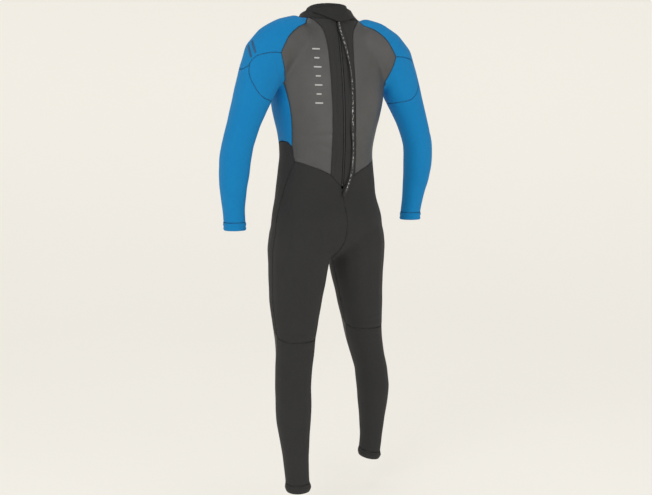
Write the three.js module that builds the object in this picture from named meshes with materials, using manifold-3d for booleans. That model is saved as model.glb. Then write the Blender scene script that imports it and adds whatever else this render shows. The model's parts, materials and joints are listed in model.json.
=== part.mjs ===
// A full wetsuit for surfing and swimming, worn length 1.48 m, closed by a back zip with a pull leash.
//
// Millimetres, +Z up. The suit stands as it is worn, mid-stride, chest towards -Y, the wearer's left at +X.
// The origin is the base of the neck on the body axis. Tables give heights above the wearer's soles.
// Every panel is neoprene sewn edge to edge to its neighbours, with a hairline gap along each seam.

import * as THREE from "three";
import { mergeVertices } from "three/addons/utils/BufferGeometryUtils.js";
import Module from "manifold-3d";

const wasm = await Module();
wasm.setup();

// ---------------------------------------------------------------- driving dimensions

const NECK_BASE = 1500; // height of the origin above the soles
const NEOPRENE = 3; // thickness of the panels
const SEAM_GAP = 0.4; // between two sewn edges
const CLEAR = 0.4; // between a piece and the piece it rests on
const ROUNDNESS = 2.3; // exponent of every cross-section, 2 being an ellipse
const THROUGH = 400; // longer than the suit is deep or half as wide

const COLLAR_TOP = 1549; // outer collar, at the back
const NECK_SEAL_TOP = 1566;
const NECK_SEAM = 1511; // where the collar is sewn on, at the back
const COLLAR_SLOPE = 0.24; // the neck opening drops towards the front
const WRIST_HEM = 888;
const CUFF_HEIGHT = 24;
const ANKLE_HEM = 98;
const ANKLE_BAND_HEIGHT = 25;
const RIGHT_HEM_SLOPE = 0.2; // the right ankle leans, and its hem with it

const ZIP_TOP = { y: 60, height: 1532 };
const ZIP_MIDDLE = { y: 107, height: 1245 };
const ZIP_BOTTOM = { y: 97, height: 1012 };
const CHAIN_HALF_WIDTH = 2.9;
const TAPE_HALF_WIDTH = 16;

// ---------------------------------------------------------------- cross-sections

// Trunk: height, half width, front and back of the section, and where along Y it is widest.
const trunkRows = [
  [784, 40, -8, 30, 12],
  [800, 98, -38, 56, 10],
  [820, 146, -72, 86, 8],
  [842, 174, -94, 107, 6],
  [872, 184, -107, 123, 5],
  [905, 181, -111, 127, 5],
  [935, 175, -111, 118, 4],
  [962, 169, -110, 105, 3],
  [990, 165, -108, 97, 2],
  [1026, 161, -105, 0, 1],
  [1064, 155, -102, 0, 0],
  [1101, 150, -100, 0, 0],
  [1138, 152, -102, 0, 4],
  [1175, 160, -108, 0, 10],
  [1212, 170, -115, 0, 15],
  [1250, 180, -121, 0, 20],
  [1290, 186, -125, 0, 24],
  [1330, 188, -127, 0, 27],
  [1370, 186, -124, 0, 28],
  [1410, 179, -116, 0, 28],
  [1445, 166, -101, 0, 26],
  [1475, 144, -82, 0, 21],
  [1500, 116, -66, 0, 16],
  [1515, 98, -58, 0, 13],
  [1527, 85, -53, 0, 11],
  [1539, 76, -50, 0, 9],
  [1551, 70, -48, 0, 8],
  [1572, 66, -46, 0, 7],
];

// Arm: centre x, y and height, radius across, radius along Y, and lean of the ring from level.
const armRows = [
  [62, 22, 1440, 40, 34, 80],
  [105, 25, 1450, 74, 50, 78],
  [150, 28, 1441, 74, 52, 68],
  [188, 29, 1420, 76, 54, 52],
  [220, 30, 1388, 76, 55, 36],
  [245, 31, 1342, 64, 55, 26],
  [262, 32, 1300, 58, 55, 22],
  [283, 35, 1250, 51, 52, 20],
  [298, 36, 1212, 47, 48, 18],
  [311, 38, 1175, 45, 46, 14],
  [322, 38, 1140, 44.5, 45, 9],
  [328, 33, 1100, 44.5, 45, 3],
  [329, 28, 1060, 43, 44, 0],
  [330, 21, 1020, 39.5, 40, 0],
  [327, 15, 985, 35, 36, 0],
  [324, 10, 950, 31.5, 32, 0],
  [320, 6, 915, 31, 31, 0],
  [318, 3, 870, 31, 31, 0],
];

// Legs: centre x, y and height, half width, half depth. The left foot is behind, the right one ahead.
const leftLegRows = [
  [84, 6, 905, 84, 98],
  [94, 8, 868, 90, 108],
  [103, 12, 820, 92, 104],
  [112, 20, 773, 88, 92],
  [119, 26, 730, 85, 87],
  [132, 38, 665, 78, 79],
  [140, 50, 605, 68, 70],
  [146, 60, 550, 59.5, 61],
  [152, 70, 500, 55.5, 57],
  [162, 78, 452, 53, 54],
  [170, 88, 400, 51.5, 53],
  [173, 97, 345, 52, 53],
  [177, 103, 300, 49, 50],
  [179, 112, 250, 42.5, 43],
  [179, 119, 202, 38, 38],
  [179, 125, 160, 35.5, 35.5],
  [179, 130, 120, 35, 35],
  [178, 133, 70, 34.5, 34.5],
];
const rightLegRows = [
  [-84, 5, 905, 84, 98],
  [-93, 6, 868, 89, 107],
  [-100, 7, 820, 89, 102],
  [-106, 9, 765, 82, 88],
  [-113, 5, 715, 78, 80],
  [-124, -1, 665, 72, 74],
  [-135, -8, 605, 66, 68],
  [-146, -14, 550, 60, 61],
  [-157, -19, 500, 56, 57],
  [-170, -20, 452, 52.5, 54],
  [-185, -19, 400, 51, 52],
  [-191, -18, 345, 51, 52],
  [-191, -18, 300, 48, 49],
  [-189, -17, 250, 42, 42],
  [-187, -17, 210, 38, 38],
  [-184, -16, 172, 35, 35],
  [-179, -16, 130, 34, 34],
  [-172, -17, 60, 33.5, 33.5],
];

const TRUNK_SIDES = 24;
const ARM_SIDES = 12;
const LEG_SIDES = 14;

// ---------------------------------------------------------------- the zip's arc

// The circle through the zip's top, middle and bottom, in the plane X = 0. The slider runs along it.
function circleThrough(a, b, c) {
  const d = 2 * (a.y * (b.height - c.height) + b.y * (c.height - a.height) + c.y * (a.height - b.height));
  const [a2, b2, c2] = [a, b, c].map((p) => p.y * p.y + p.height * p.height);
  const y = (a2 * (b.height - c.height) + b2 * (c.height - a.height) + c2 * (a.height - b.height)) / d;
  const height = (a2 * (c.y - b.y) + b2 * (a.y - c.y) + c2 * (b.y - a.y)) / d;
  return { y, height, radius: Math.hypot(a.y - y, a.height - height) };
}

const zipArc = circleThrough(ZIP_TOP, ZIP_MIDDLE, ZIP_BOTTOM);
const arcBack = (height) => zipArc.y + Math.sqrt(zipArc.radius ** 2 - (height - zipArc.height) ** 2);

// The trunk's back follows the arc from the waist to the collar.
const trunk = trunkRows.map(([height, halfWidth, front, back, widest]) => ({
  height,
  halfWidth,
  front,
  back: back || arcBack(height),
  widest,
}));

// The trunk's section at any height, between its rows.
function trunkAt(height) {
  const last = trunk.length - 2;
  const i = Math.min(last, Math.max(0, trunk.findIndex((row) => row.height > height) - 1));
  const share = (height - trunk[i].height) / (trunk[i + 1].height - trunk[i].height);
  const between = (key) => THREE.MathUtils.lerp(trunk[i][key], trunk[i + 1][key], share);
  return {
    halfWidth: between("halfWidth"),
    front: between("front"),
    back: between("back"),
    widest: between("widest"),
  };
}

// ---------------------------------------------------------------- solids

// A closed solid from a geometry, and a geometry from a solid.
function solid(geometry) {
  const bare = geometry.index ? geometry.clone() : geometry;
  bare.deleteAttribute("normal");
  bare.deleteAttribute("uv");
  const merged = mergeVertices(bare, 1e-4);
  const made = new wasm.Manifold(
    new wasm.Mesh({
      numProp: 3,
      vertProperties: merged.attributes.position.array,
      triVerts: new Uint32Array(merged.index.array),
    }),
  );
  return made;
}

function geometryOf(made) {
  const mesh = made.getMesh();
  const geometry = new THREE.BufferGeometry();
  geometry.setAttribute("position", new THREE.BufferAttribute(new Float32Array(mesh.vertProperties), 3));
  geometry.setIndex(new THREE.BufferAttribute(new Uint32Array(mesh.triVerts), 1));
  return geometry;
}

// A closed skin over rings of points, the two end rings closed by fans.
function loft(rings) {
  const count = rings[0].length;
  const positions = [];
  const faces = [];
  for (const ring of rings) for (const p of ring) positions.push(p.x, p.y, p.z);
  for (let r = 0; r + 1 < rings.length; r++) {
    for (let s = 0; s < count; s++) {
      const a = r * count + s;
      const b = r * count + ((s + 1) % count);
      faces.push(a, b, a + count, b, b + count, a + count);
    }
  }
  [0, rings.length - 1].forEach((r) => {
    const middle = new THREE.Vector3();
    rings[r].forEach((p) => middle.addScaledVector(p, 1 / count));
    const hub = positions.length / 3;
    positions.push(middle.x, middle.y, middle.z);
    for (let s = 0; s < count; s++) {
      const a = r * count + s;
      const b = r * count + ((s + 1) % count);
      faces.push(...(r === 0 ? [hub, b, a] : [hub, a, b]));
    }
  });
  const geometry = new THREE.BufferGeometry();
  geometry.setAttribute("position", new THREE.Float32BufferAttribute(positions, 3));
  geometry.setIndex(faces);
  return geometry;
}

// A superellipse's radius in the direction of an angle from its depth axis.
function sectionRadius(angle, halfWidth, halfDepth) {
  const across = Math.abs(Math.sin(angle)) / halfWidth;
  const along = Math.abs(Math.cos(angle)) / halfDepth;
  return (across ** ROUNDNESS + along ** ROUNDNESS) ** (-1 / ROUNDNESS);
}

// One ring: points round a centre, spanned by the directions across and along.
function ring({ centre, across, along, halfWidth, front, back, sides }) {
  const points = [];
  for (let s = 0; s < sides; s++) {
    const turn = (2 * Math.PI * s) / sides;
    const halfDepth = Math.cos(turn) >= 0 ? back : front;
    const angle = Math.atan2(halfWidth * Math.sin(turn), halfDepth * Math.cos(turn));
    const radius = sectionRadius(angle, halfWidth, halfDepth);
    const point = centre.clone();
    point.addScaledVector(across, radius * Math.sin(angle));
    point.addScaledVector(along, radius * Math.cos(angle));
    points.push(point);
  }
  return points;
}

const X = new THREE.Vector3(1, 0, 0);
const Y = new THREE.Vector3(0, 1, 0);
const place = (x, y, height) => new THREE.Vector3(x, y, height - NECK_BASE);

const HIP_HEIGHT = 872;

function trunkForm(grow) {
  // The flat rows at the crotch rise as the form shrinks, so that the wall keeps its thickness there.
  const bottom = trunk[0].height;
  const lift = (height) => -grow * Math.max(0, (HIP_HEIGHT - height) / (HIP_HEIGHT - bottom));
  const rings = trunk.map((row) =>
    ring({
      centre: place(0, row.widest, row.height + lift(row.height)),
      across: X,
      along: Y,
      halfWidth: row.halfWidth + grow,
      front: row.widest - row.front + grow,
      back: row.back - row.widest + grow,
      sides: TRUNK_SIDES,
    }),
  );
  return solid(loft(rings.reverse()));
}

function armForm(side, grow) {
  const rings = armRows.map(([x, y, height, halfWidth, halfDepth, lean]) => {
    const tilt = THREE.MathUtils.degToRad(lean);
    return ring({
      centre: place(side * x, y, height),
      across: new THREE.Vector3(Math.cos(tilt), 0, side * Math.sin(tilt)),
      along: Y,
      halfWidth: halfWidth + grow,
      front: halfDepth + grow,
      back: halfDepth + grow,
      sides: ARM_SIDES,
    });
  });
  return solid(loft(rings));
}

function legForm(rows, grow) {
  const rings = rows.map(([x, y, height, halfWidth, halfDepth]) =>
    ring({
      centre: place(x, y, height),
      across: X,
      along: Y,
      halfWidth: halfWidth + grow,
      front: halfDepth + grow,
      back: halfDepth + grow,
      sides: LEG_SIDES,
    }),
  );
  return solid(loft(rings));
}

// The whole body, its surface moved out by grow.
function bodyForm(grow) {
  return trunkForm(grow)
    .add(armForm(1, grow))
    .add(armForm(-1, grow))
    .add(legForm(leftLegRows, grow))
    .add(legForm(rightLegRows, grow));
}

function block(x0, x1, y0, y1, low, high) {
  const box = new THREE.BoxGeometry(x1 - x0, y1 - y0, high - low);
  box.translate((x0 + x1) / 2, (y0 + y1) / 2, (low + high) / 2 - NECK_BASE);
  return solid(box);
}

// Everything above a plane through (0, y, height) that climbs by slopeX and slopeY.
function above(y, height, slopeX, slopeY, x = 0) {
  const box = new THREE.BoxGeometry(2 * THROUGH, 2 * THROUGH, THROUGH);
  box.translate(0, 0, THROUGH / 2);
  const normal = new THREE.Vector3(-slopeX, -slopeY, 1).normalize();
  box.applyQuaternion(new THREE.Quaternion().setFromUnitVectors(new THREE.Vector3(0, 0, 1), normal));
  box.translate(x, y, height - NECK_BASE);
  return solid(box);
}

// ---------------------------------------------------------------- seams

// The two sides of a line of points, half a seam gap away on each side.
function ribbonShape(points) {
  const curve = points.map(([u, v]) => new THREE.Vector2(u, v - NECK_BASE));
  const normals = curve.map((p, i) => {
    const before = curve[Math.max(0, i - 1)];
    const after = curve[Math.min(curve.length - 1, i + 1)];
    const run = after.clone().sub(before).normalize();
    return new THREE.Vector2(-run.y, run.x);
  });
  const leftEdge = curve.map((p, i) => p.clone().addScaledVector(normals[i], SEAM_GAP / 2));
  const rightEdge = curve.map((p, i) => p.clone().addScaledVector(normals[i], -SEAM_GAP / 2));
  return new THREE.Shape([...leftEdge, ...rightEdge.reverse()]);
}

// A smooth line through points, with more points between them.
function smooth(points, between = 2) {
  const curve = new THREE.SplineCurve(points.map(([u, v]) => new THREE.Vector2(u, v)));
  return curve.getPoints((points.length - 1) * between).map((p) => [p.x, p.y]);
}

// A thin wall that cuts along a line seen from behind, points (x, height), from y0 to y1.
function wallFromBehind(points, y0 = -THROUGH / 2, y1 = THROUGH / 2) {
  const wall = new THREE.ExtrudeGeometry(ribbonShape(points), { depth: y1 - y0, bevelEnabled: false });
  wall.rotateX(Math.PI / 2);
  wall.translate(0, y1, 0);
  return solid(wall);
}

// A thin wall that cuts along a line seen from the side, points (y, height), from x0 to x1.
function wallFromSide(points, x0, x1) {
  const wall = new THREE.ExtrudeGeometry(ribbonShape(points), { depth: x1 - x0, bevelEnabled: false });
  wall.rotateX(Math.PI / 2);
  wall.rotateZ(Math.PI / 2);
  wall.translate(x0, 0, 0);
  return solid(wall);
}

const mirrored = (points) => points.map(([x, height]) => [-x, height]);

// Raglan seam from the neck to its corner, then down the side of the back to the waist corner.
const raglanSeam = smooth([[88, 1536], [91, 1510], [106, 1495], [137, 1483], [175, 1453], [202, 1406]]);
const sideSeam = smooth([[202, 1406], [195, 1380], [180, 1334], [155, 1215], [142, 1130], [138, 1089]]);
const waistSeam = smooth([[138, 1089], [98, 1073], [43, 1048], [0, 1005]]);
const panelOutline = [...raglanSeam, ...sideSeam.slice(1), ...waistSeam.slice(1)];
const yokeOutline = [...panelOutline, ...mirrored(panelOutline).reverse().slice(1)];

const shoulderSeam = smooth([[201.9, 1406], [240, 1405], [274, 1395], [292, 1375], [303, 1359], [340, 1345]]);
const gussetSeam = smooth([[291.9, 1375.1], [297, 1348], [290, 1312], [272, 1284], [250, 1272], [204, 1262]]);
const flankSeam = smooth([[141.9, 1130], [152, 1148], [176, 1160], [210, 1164]]);
const zipPanelSeam = smooth([[104, 1534], [91, 1519], [62, 1492], [50, 1470], [44, 1425], [42, 1331],
  [40, 1224], [42, 1101], [43, 1047.9]]);

// Centre of a leg along Y at a height.
function legDepthAt(rows, height) {
  const i = rows.findIndex((row) => row[2] < height) - 1;
  const share = (height - rows[i][2]) / (rows[i + 1][2] - rows[i][2]);
  return THREE.MathUtils.lerp(rows[i][1], rows[i + 1][1], share);
}

const KNEE_CREASE = 548; // height of the seam behind the knee
const KNEE_SIDE = 563;
const KNEE_FRONT = 600;
const KNEE_PAD_LOW = 436;

// Seams of one leg, seen from the side: the side seam, the knee seam and the knee pad's lower edge.
function legSeams(rows) {
  const along = (offsets) => offsets.map(([off, height]) => [legDepthAt(rows, height) + off, height]);
  const hip = [[53, 1094], [46, 1080], [33, 1040], [15, 960], [9, 880]];
  const thigh = along([[0, 820], [0, 773], [0, 720], [0, 660], [0, 600], [0, KNEE_SIDE]]);
  return {
    side: smooth([...hip, ...thigh]),
    knee: smooth(along([[120, KNEE_CREASE], [70, KNEE_CREASE], [30, 552], [0, KNEE_SIDE], [-30, 592],
      [-60, KNEE_FRONT], [-100, KNEE_FRONT]])),
    pad: smooth(along([[0.1, KNEE_SIDE], [-8, 520], [-20, 480], [-36, 450], [-60, KNEE_PAD_LOW],
      [-100, KNEE_PAD_LOW]])),
  };
}

// ---------------------------------------------------------------- the sewn skin

const INNER_LEG = 0.3; // the seams of the two legs meet here, past the middle
const shell = bodyForm(0).subtract(bodyForm(-NEOPRENE));

// Everything above the collar's top plane, which climbs backwards to a height at the back.
const NECK_BACK_Y = 62;
const aboveNeck = (height) => above(NECK_BACK_Y, height, 0, COLLAR_SLOPE);

// Everything above the curve on which the collar is sewn, which is highest on the shoulders.
function aboveNeckSeam(rise) {
  const half = [[110, 36], [99, 13], [80, 5], [45, 1], [0, 0]];
  const curve = smooth([...half, ...mirrored(half).reverse().slice(1)]);
  const outline = [[110, 200], ...curve, [-110, 200]].map(([x, up]) => new THREE.Vector2(x, up + rise));
  const region = new THREE.ExtrudeGeometry(new THREE.Shape(outline), { depth: THROUGH, bevelEnabled: false });
  region.rotateX(Math.PI / 2);
  region.translate(0, THROUGH / 2, NECK_SEAM - NECK_BASE);
  const shear = new THREE.Matrix4().makeShear(0, 0, 0, COLLAR_SLOPE, 0, 0);
  region.applyMatrix4(shear);
  region.translate(0, 0, -COLLAR_SLOPE * NECK_BACK_Y);
  return solid(region);
}

const trimmed = shell
  .subtract(aboveNeck(COLLAR_TOP))
  .subtract(block(250, 400, -100, 150, 800, WRIST_HEM))
  .subtract(block(-400, -250, -100, 150, 800, WRIST_HEM))
  .subtract(block(60, 300, -100, 300, 0, ANKLE_HEM));

const RIGHT_ANKLE = { x: -176, y: -17, height: 100 };
const rightHemPlane = (height) => above(RIGHT_ANKLE.y, height, RIGHT_HEM_SLOPE, -RIGHT_HEM_SLOPE / 2,
  RIGHT_ANKLE.x);
const rightLegOnly = block(-300, -60, -200, 200, 0, 300);
const belowRightHem = rightLegOnly.subtract(rightHemPlane(RIGHT_ANKLE.height));
const rightBandSeam = rightHemPlane(RIGHT_ANKLE.height + ANKLE_BAND_HEIGHT)
  .subtract(rightHemPlane(RIGHT_ANKLE.height + ANKLE_BAND_HEIGHT + SEAM_GAP))
  .intersect(rightLegOnly);

const leftLeg = legSeams(leftLegRows);
const rightLeg = legSeams(rightLegRows);
const ZIP_SLOT = CHAIN_HALF_WIDTH + CLEAR;

const collarBlank = trimmed
  .intersect(aboveNeckSeam(SEAM_GAP))
  .subtract(block(-ZIP_SLOT, ZIP_SLOT, 0, THROUGH / 2, 1400, 1600));

const seams = [
  wallFromBehind(yokeOutline),
  wallFromBehind(shoulderSeam),
  wallFromBehind(mirrored(shoulderSeam)),
  wallFromBehind(gussetSeam),
  wallFromBehind(mirrored(gussetSeam)),
  wallFromBehind(flankSeam),
  wallFromBehind(mirrored(flankSeam)),
  wallFromBehind(zipPanelSeam, 12, THROUGH / 2),
  wallFromBehind(mirrored(zipPanelSeam), 12, THROUGH / 2),
  wallFromSide(leftLeg.side, -INNER_LEG, THROUGH / 2 + 100),
  wallFromSide(rightLeg.side, -THROUGH / 2 - 100, INNER_LEG),
  wallFromSide(leftLeg.knee, 20, 300),
  wallFromSide(rightLeg.knee, -300, -20),
  wallFromSide(leftLeg.pad, 20, 300),
  wallFromSide(rightLeg.pad, -300, -20),
  block(-SEAM_GAP / 2, SEAM_GAP / 2, 5, THROUGH / 2, 700, 1006),
  block(-ZIP_SLOT, ZIP_SLOT, 0, THROUGH / 2, 1005.4, 1600),
  block(250, 400, -100, 150, WRIST_HEM + CUFF_HEIGHT, WRIST_HEM + CUFF_HEIGHT + SEAM_GAP),
  block(-400, -250, -100, 150, WRIST_HEM + CUFF_HEIGHT, WRIST_HEM + CUFF_HEIGHT + SEAM_GAP),
  block(60, 300, -100, 300, ANKLE_HEM + ANKLE_BAND_HEIGHT, ANKLE_HEM + ANKLE_BAND_HEIGHT + SEAM_GAP),
  rightBandSeam,
];
const belowNeck = trimmed.subtract(aboveNeckSeam(0)).subtract(belowRightHem);
const panels = seams.reduce((skin, seam) => skin.subtract(seam), belowNeck).decompose();

// The panel that holds most of a small upright probe at (x, height), between y0 and y1.
function panelAt(x, height, y0, y1) {
  const probe = block(x - 3, x + 3, y0, y1, height - 3, height + 3);
  const held = panels.map((panel) => panel.intersect(probe).volume());
  const most = Math.max(...held);
  if (most <= 0) throw new Error("no panel at " + x + ", " + height);
  return panels[held.indexOf(most)];
}

const BACK = [0, 200];
const FRONT = [-200, 0];
const ROUND = [-110, 190];

// ---------------------------------------------------------------- finishes

const finish = (colour, roughness, metalness = 0) => ({ colour, roughness, metalness });
const BLUE_JERSEY = finish(0x0179b5, 0.8);
const BLACK_JERSEY = finish(0x353535, 0.9);
const SMOOTH_SKIN = finish(0x575757, 0.55);
const COLLAR_JERSEY = finish(0x313131, 0.9);
const HEM_JERSEY = finish(0x02659b, 0.85);
const INNER_LINING = finish(0x26282b, 0.9);
const TAPE = finish(0x1c1c1c, 0.85);
const NYLON = finish(0x161616, 0.45);
const STEEL = finish(0xb9bcc0, 0.3, 1);
const WEBBING = finish(0x8a8a8a, 0.8);

const wetsuit = new THREE.Group();

function add(name, geometry, look) {
  const material = new THREE.MeshStandardMaterial({
    color: look.colour,
    roughness: look.roughness,
    metalness: look.metalness,
  });
  const mesh = new THREE.Mesh(geometry, material);
  mesh.name = name;
  wetsuit.add(mesh);
}

function addPanel(name, look, x, height, [y0, y1]) {
  add(name, geometryOf(panelAt(x, height, y0, y1)), look);
}

// ---------------------------------------------------------------- panels

for (const [side, sign] of [["left", 1], ["right", -1]]) {
  const leg = sign > 0 ? leftLegRows : rightLegRows;
  const calf = leg.find((row) => row[2] < 350);
  const knee = leg.find((row) => row[2] < 505);
  const ankle = leg[leg.length - 1];
  addPanel(side + "_back_panel", SMOOTH_SKIN, sign * 110, 1300, BACK);
  addPanel(side + "_zip_panel", BLACK_JERSEY, sign * 22, 1300, BACK);
  addPanel(side + "_shoulder_panel", BLUE_JERSEY, sign * 210, 1455, ROUND);
  addPanel(side + "_underarm_panel", BLUE_JERSEY, sign * 174, 1262, ROUND);
  addPanel(side + "_sleeve", BLUE_JERSEY, sign * 329, 1060, ROUND);
  addPanel(side + "_cuff_band", HEM_JERSEY, sign * 319, 900, ROUND);
  addPanel(side + "_seat_panel", BLACK_JERSEY, sign * 60, 940, BACK);
  addPanel(side + "_knee_pad", BLACK_JERSEY, knee[0], 510, [-110, knee[1]]);
  addPanel(side + "_lower_leg_panel", BLACK_JERSEY, calf[0], 300, ROUND);
  addPanel(side + "_ankle_band", BLACK_JERSEY, sign > 0 ? 178 : -176, ANKLE_HEM + (sign > 0 ? 12 : 16), ROUND);
}
addPanel("chest_panel", SMOOTH_SKIN, 0, 1300, FRONT);
addPanel("front_body_panel", BLACK_JERSEY, 0, 950, FRONT);
add("collar", geometryOf(collarBlank), COLLAR_JERSEY);

// ---------------------------------------------------------------- collar pieces, wrapped round the neck

// A point of the trunk's surface in the direction of an angle from its back, moved out by grow.
function neckPoint(angle, height, grow) {
  const row = trunkAt(height);
  const halfDepth = (Math.cos(angle) >= 0 ? row.back - row.widest : row.widest - row.front) + grow;
  const radius = sectionRadius(angle, row.halfWidth + grow, halfDepth);
  return place(radius * Math.sin(angle), row.widest + radius * Math.cos(angle), height);
}

// A point of the trunk's back at a distance x from the middle, moved out by grow.
function backPoint(x, height, grow) {
  const row = trunkAt(height);
  const share = Math.abs(x) / (row.halfWidth + grow);
  const depth = (row.back - row.widest + grow) * (1 - share ** ROUNDNESS) ** (1 / ROUNDNESS);
  return place(x, row.widest + depth, height);
}

// A plate over a grid: pointAt(u, v, outer) gives its inner and outer faces, u and v running from 0 to 1.
function plate(columns, rows, pointAt) {
  const positions = [];
  const faces = [];
  const id = (u, v, outer) => (v * (columns + 1) + u) * 2 + outer;
  for (let v = 0; v <= rows; v++) {
    for (let u = 0; u <= columns; u++) {
      for (const outer of [0, 1]) {
        const p = pointAt(u / columns, v / rows, outer);
        positions.push(p.x, p.y, p.z);
      }
    }
  }
  const quad = (a, b, c, d) => faces.push(a, b, c, a, c, d);
  for (let v = 0; v < rows; v++) {
    for (let u = 0; u < columns; u++) {
      quad(id(u, v, 1), id(u + 1, v, 1), id(u + 1, v + 1, 1), id(u, v + 1, 1));
      quad(id(u, v, 0), id(u, v + 1, 0), id(u + 1, v + 1, 0), id(u + 1, v, 0));
    }
    quad(id(0, v, 0), id(0, v, 1), id(0, v + 1, 1), id(0, v + 1, 0));
    quad(id(columns, v, 0), id(columns, v + 1, 0), id(columns, v + 1, 1), id(columns, v, 1));
  }
  for (let u = 0; u < columns; u++) {
    quad(id(u, 0, 0), id(u + 1, 0, 0), id(u + 1, 0, 1), id(u, 0, 1));
    quad(id(u, rows, 0), id(u, rows, 1), id(u + 1, rows, 1), id(u + 1, rows, 0));
  }
  const geometry = new THREE.BufferGeometry();
  geometry.setAttribute("position", new THREE.Float32BufferAttribute(positions, 3));
  geometry.setIndex(faces);
  return outward(geometry);
}

// The same geometry with its faces turned to point out.
function outward(geometry) {
  if (solid(geometry).volume() > 0) return geometry;
  const index = geometry.index.array;
  for (let i = 0; i < index.length; i += 3) [index[i + 1], index[i + 2]] = [index[i + 2], index[i + 1]];
  return geometry;
}

const degrees = THREE.MathUtils.degToRad;
const lerp = THREE.MathUtils.lerp;
const smoothstep = THREE.MathUtils.smoothstep;

// Neck seal: a thin inner collar that stands above the outer one, in one piece all round.
const SEAL_THICKNESS = 2;
const SEAL_DEPTH = 6.6; // its outer face, under the surface of the collar
const SEAL_LOW = 1512;
const sealOuter = trunkForm(-SEAL_DEPTH);
const sealInner = trunkForm(-SEAL_DEPTH - SEAL_THICKNESS);
const seal = sealOuter
  .subtract(sealInner)
  .intersect(aboveNeck(SEAL_LOW))
  .subtract(aboveNeck(NECK_SEAL_TOP));
add("neck_seal", geometryOf(seal), COLLAR_JERSEY);

// Collar flap: closes over the zip's top from the wearer's right, and its lower edge is a shallow V.
const FLAP_THICKNESS = 2.4;
const FLAP_LEFT = degrees(66);
const FLAP_RIGHT = degrees(-64);
const FLAP_TIP = 1503;
const FLAP_TOP = 1549;
const FLAP_STAND_OFF = { sewnEnd: 0.5, overSlider: 8.6, overPatches: 3.3 };

function flapStandOff(angle) {
  const rise = smoothstep(angle, FLAP_RIGHT, degrees(-22));
  const fall = smoothstep(angle, degrees(14), degrees(34));
  const middle = lerp(FLAP_STAND_OFF.sewnEnd, FLAP_STAND_OFF.overSlider, rise);
  return lerp(middle, FLAP_STAND_OFF.overPatches, fall);
}

function flapHeight(angle, share) {
  const end = angle > 0 ? FLAP_LEFT : FLAP_RIGHT;
  const edge = Math.abs(angle / end);
  const low = lerp(FLAP_TIP, angle > 0 ? 1532 : 1523, edge ** 1.15);
  const high = lerp(FLAP_TOP, angle > 0 ? 1539 : 1541, edge ** 2);
  return lerp(low, high, share);
}

add("collar_flap", plate(22, 4, (u, v, outer) => {
  const angle = lerp(FLAP_LEFT, FLAP_RIGHT, u);
  return neckPoint(angle, flapHeight(angle, v), flapStandOff(angle) + outer * FLAP_THICKNESS);
}), COLLAR_JERSEY);

// Hook patch on the collar and loop patch on the flap's free end, which meet when the flap is closed.
const PATCH_THICKNESS = 1;
const PATCH_LEFT = degrees(60);
const PATCH_RIGHT = degrees(37);
for (const [name, depth] of [["hook_patch", 0.35], ["loop_patch", 1.8]]) {
  add(name, plate(4, 1, (u, v, outer) => {
    const angle = lerp(PATCH_LEFT, PATCH_RIGHT, u);
    const height = flapHeight(angle, lerp(0.2, 0.8, v));
    return neckPoint(angle, height, depth + outer * PATCH_THICKNESS);
  }), TAPE);
}

// ---------------------------------------------------------------- zip

const ZIP_LOW = 1012;
const ZIP_HIGH = 1536;
const ZIP_STEPS = 15;
const TAPE_DEPTH = NEOPRENE + 1.5;

// A strip that runs up the zip between two distances from the middle, its outer face depth under the skin.
function zipStrip(x0, x1, low, high, steps, depth, thickness) {
  return plate(1, steps, (u, v, outer) =>
    backPoint(lerp(x0, x1, u), lerp(low, high, v), outer * thickness - depth - thickness),
  );
}

for (const [side, sign] of [["left", 1], ["right", -1]]) {
  add(side + "_zip_chain",
    zipStrip(sign * 0.25, sign * CHAIN_HALF_WIDTH, ZIP_LOW + 8, ZIP_HIGH - 4, ZIP_STEPS, 0.4, 2.4), NYLON);
  add(side + "_zip_tape",
    zipStrip(sign * 0.25, sign * TAPE_HALF_WIDTH, ZIP_LOW, ZIP_HIGH, ZIP_STEPS, TAPE_DEPTH, 0.8), TAPE);
  add(side + "_top_stop",
    zipStrip(sign * 0.3, sign * CHAIN_HALF_WIDTH, ZIP_HIGH - 3.4, ZIP_HIGH, 1, 0.2, 2.6), STEEL);
}
add("bottom_stop", zipStrip(-CHAIN_HALF_WIDTH, CHAIN_HALF_WIDTH, ZIP_LOW + 1, ZIP_LOW + 7.5, 1, 0.2, 2.6), STEEL);

const BACKING_HALF_WIDTH = 36;
add("zip_backing_flap", plate(4, ZIP_STEPS, (u, v, outer) =>
  backPoint(lerp(-BACKING_HALF_WIDTH, BACKING_HALF_WIDTH, u), lerp(ZIP_LOW + 4, 1506, v), outer * 1.5 - 8.6),
), INNER_LINING);

// The slider rides on the arc. Its parts are drawn flat, x across, y up the zip, z out of the back.
const SLIDER_HEIGHT = 1516;
const SLIDER_LENGTH = 14;
const SLIDER_HALF_WIDTH = 5;
const SLIDER_THICKNESS = 2.2;
const BAIL_RISE = 2.3; // from the plate to the pin that the pull tab hangs on
const PIN_RADIUS = 0.8;
const EYE_RADIUS = 2;

function onZip(height, grow) {
  const frame = new THREE.Matrix4();
  const out = new THREE.Vector3(0, arcBack(height) - zipArc.y, height - zipArc.height).normalize();
  const up = new THREE.Vector3(0, -out.z, out.y);
  frame.makeBasis(X.clone().negate(), up, out);
  frame.setPosition(place(0, arcBack(height), height).addScaledVector(out, grow));
  return frame;
}

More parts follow.
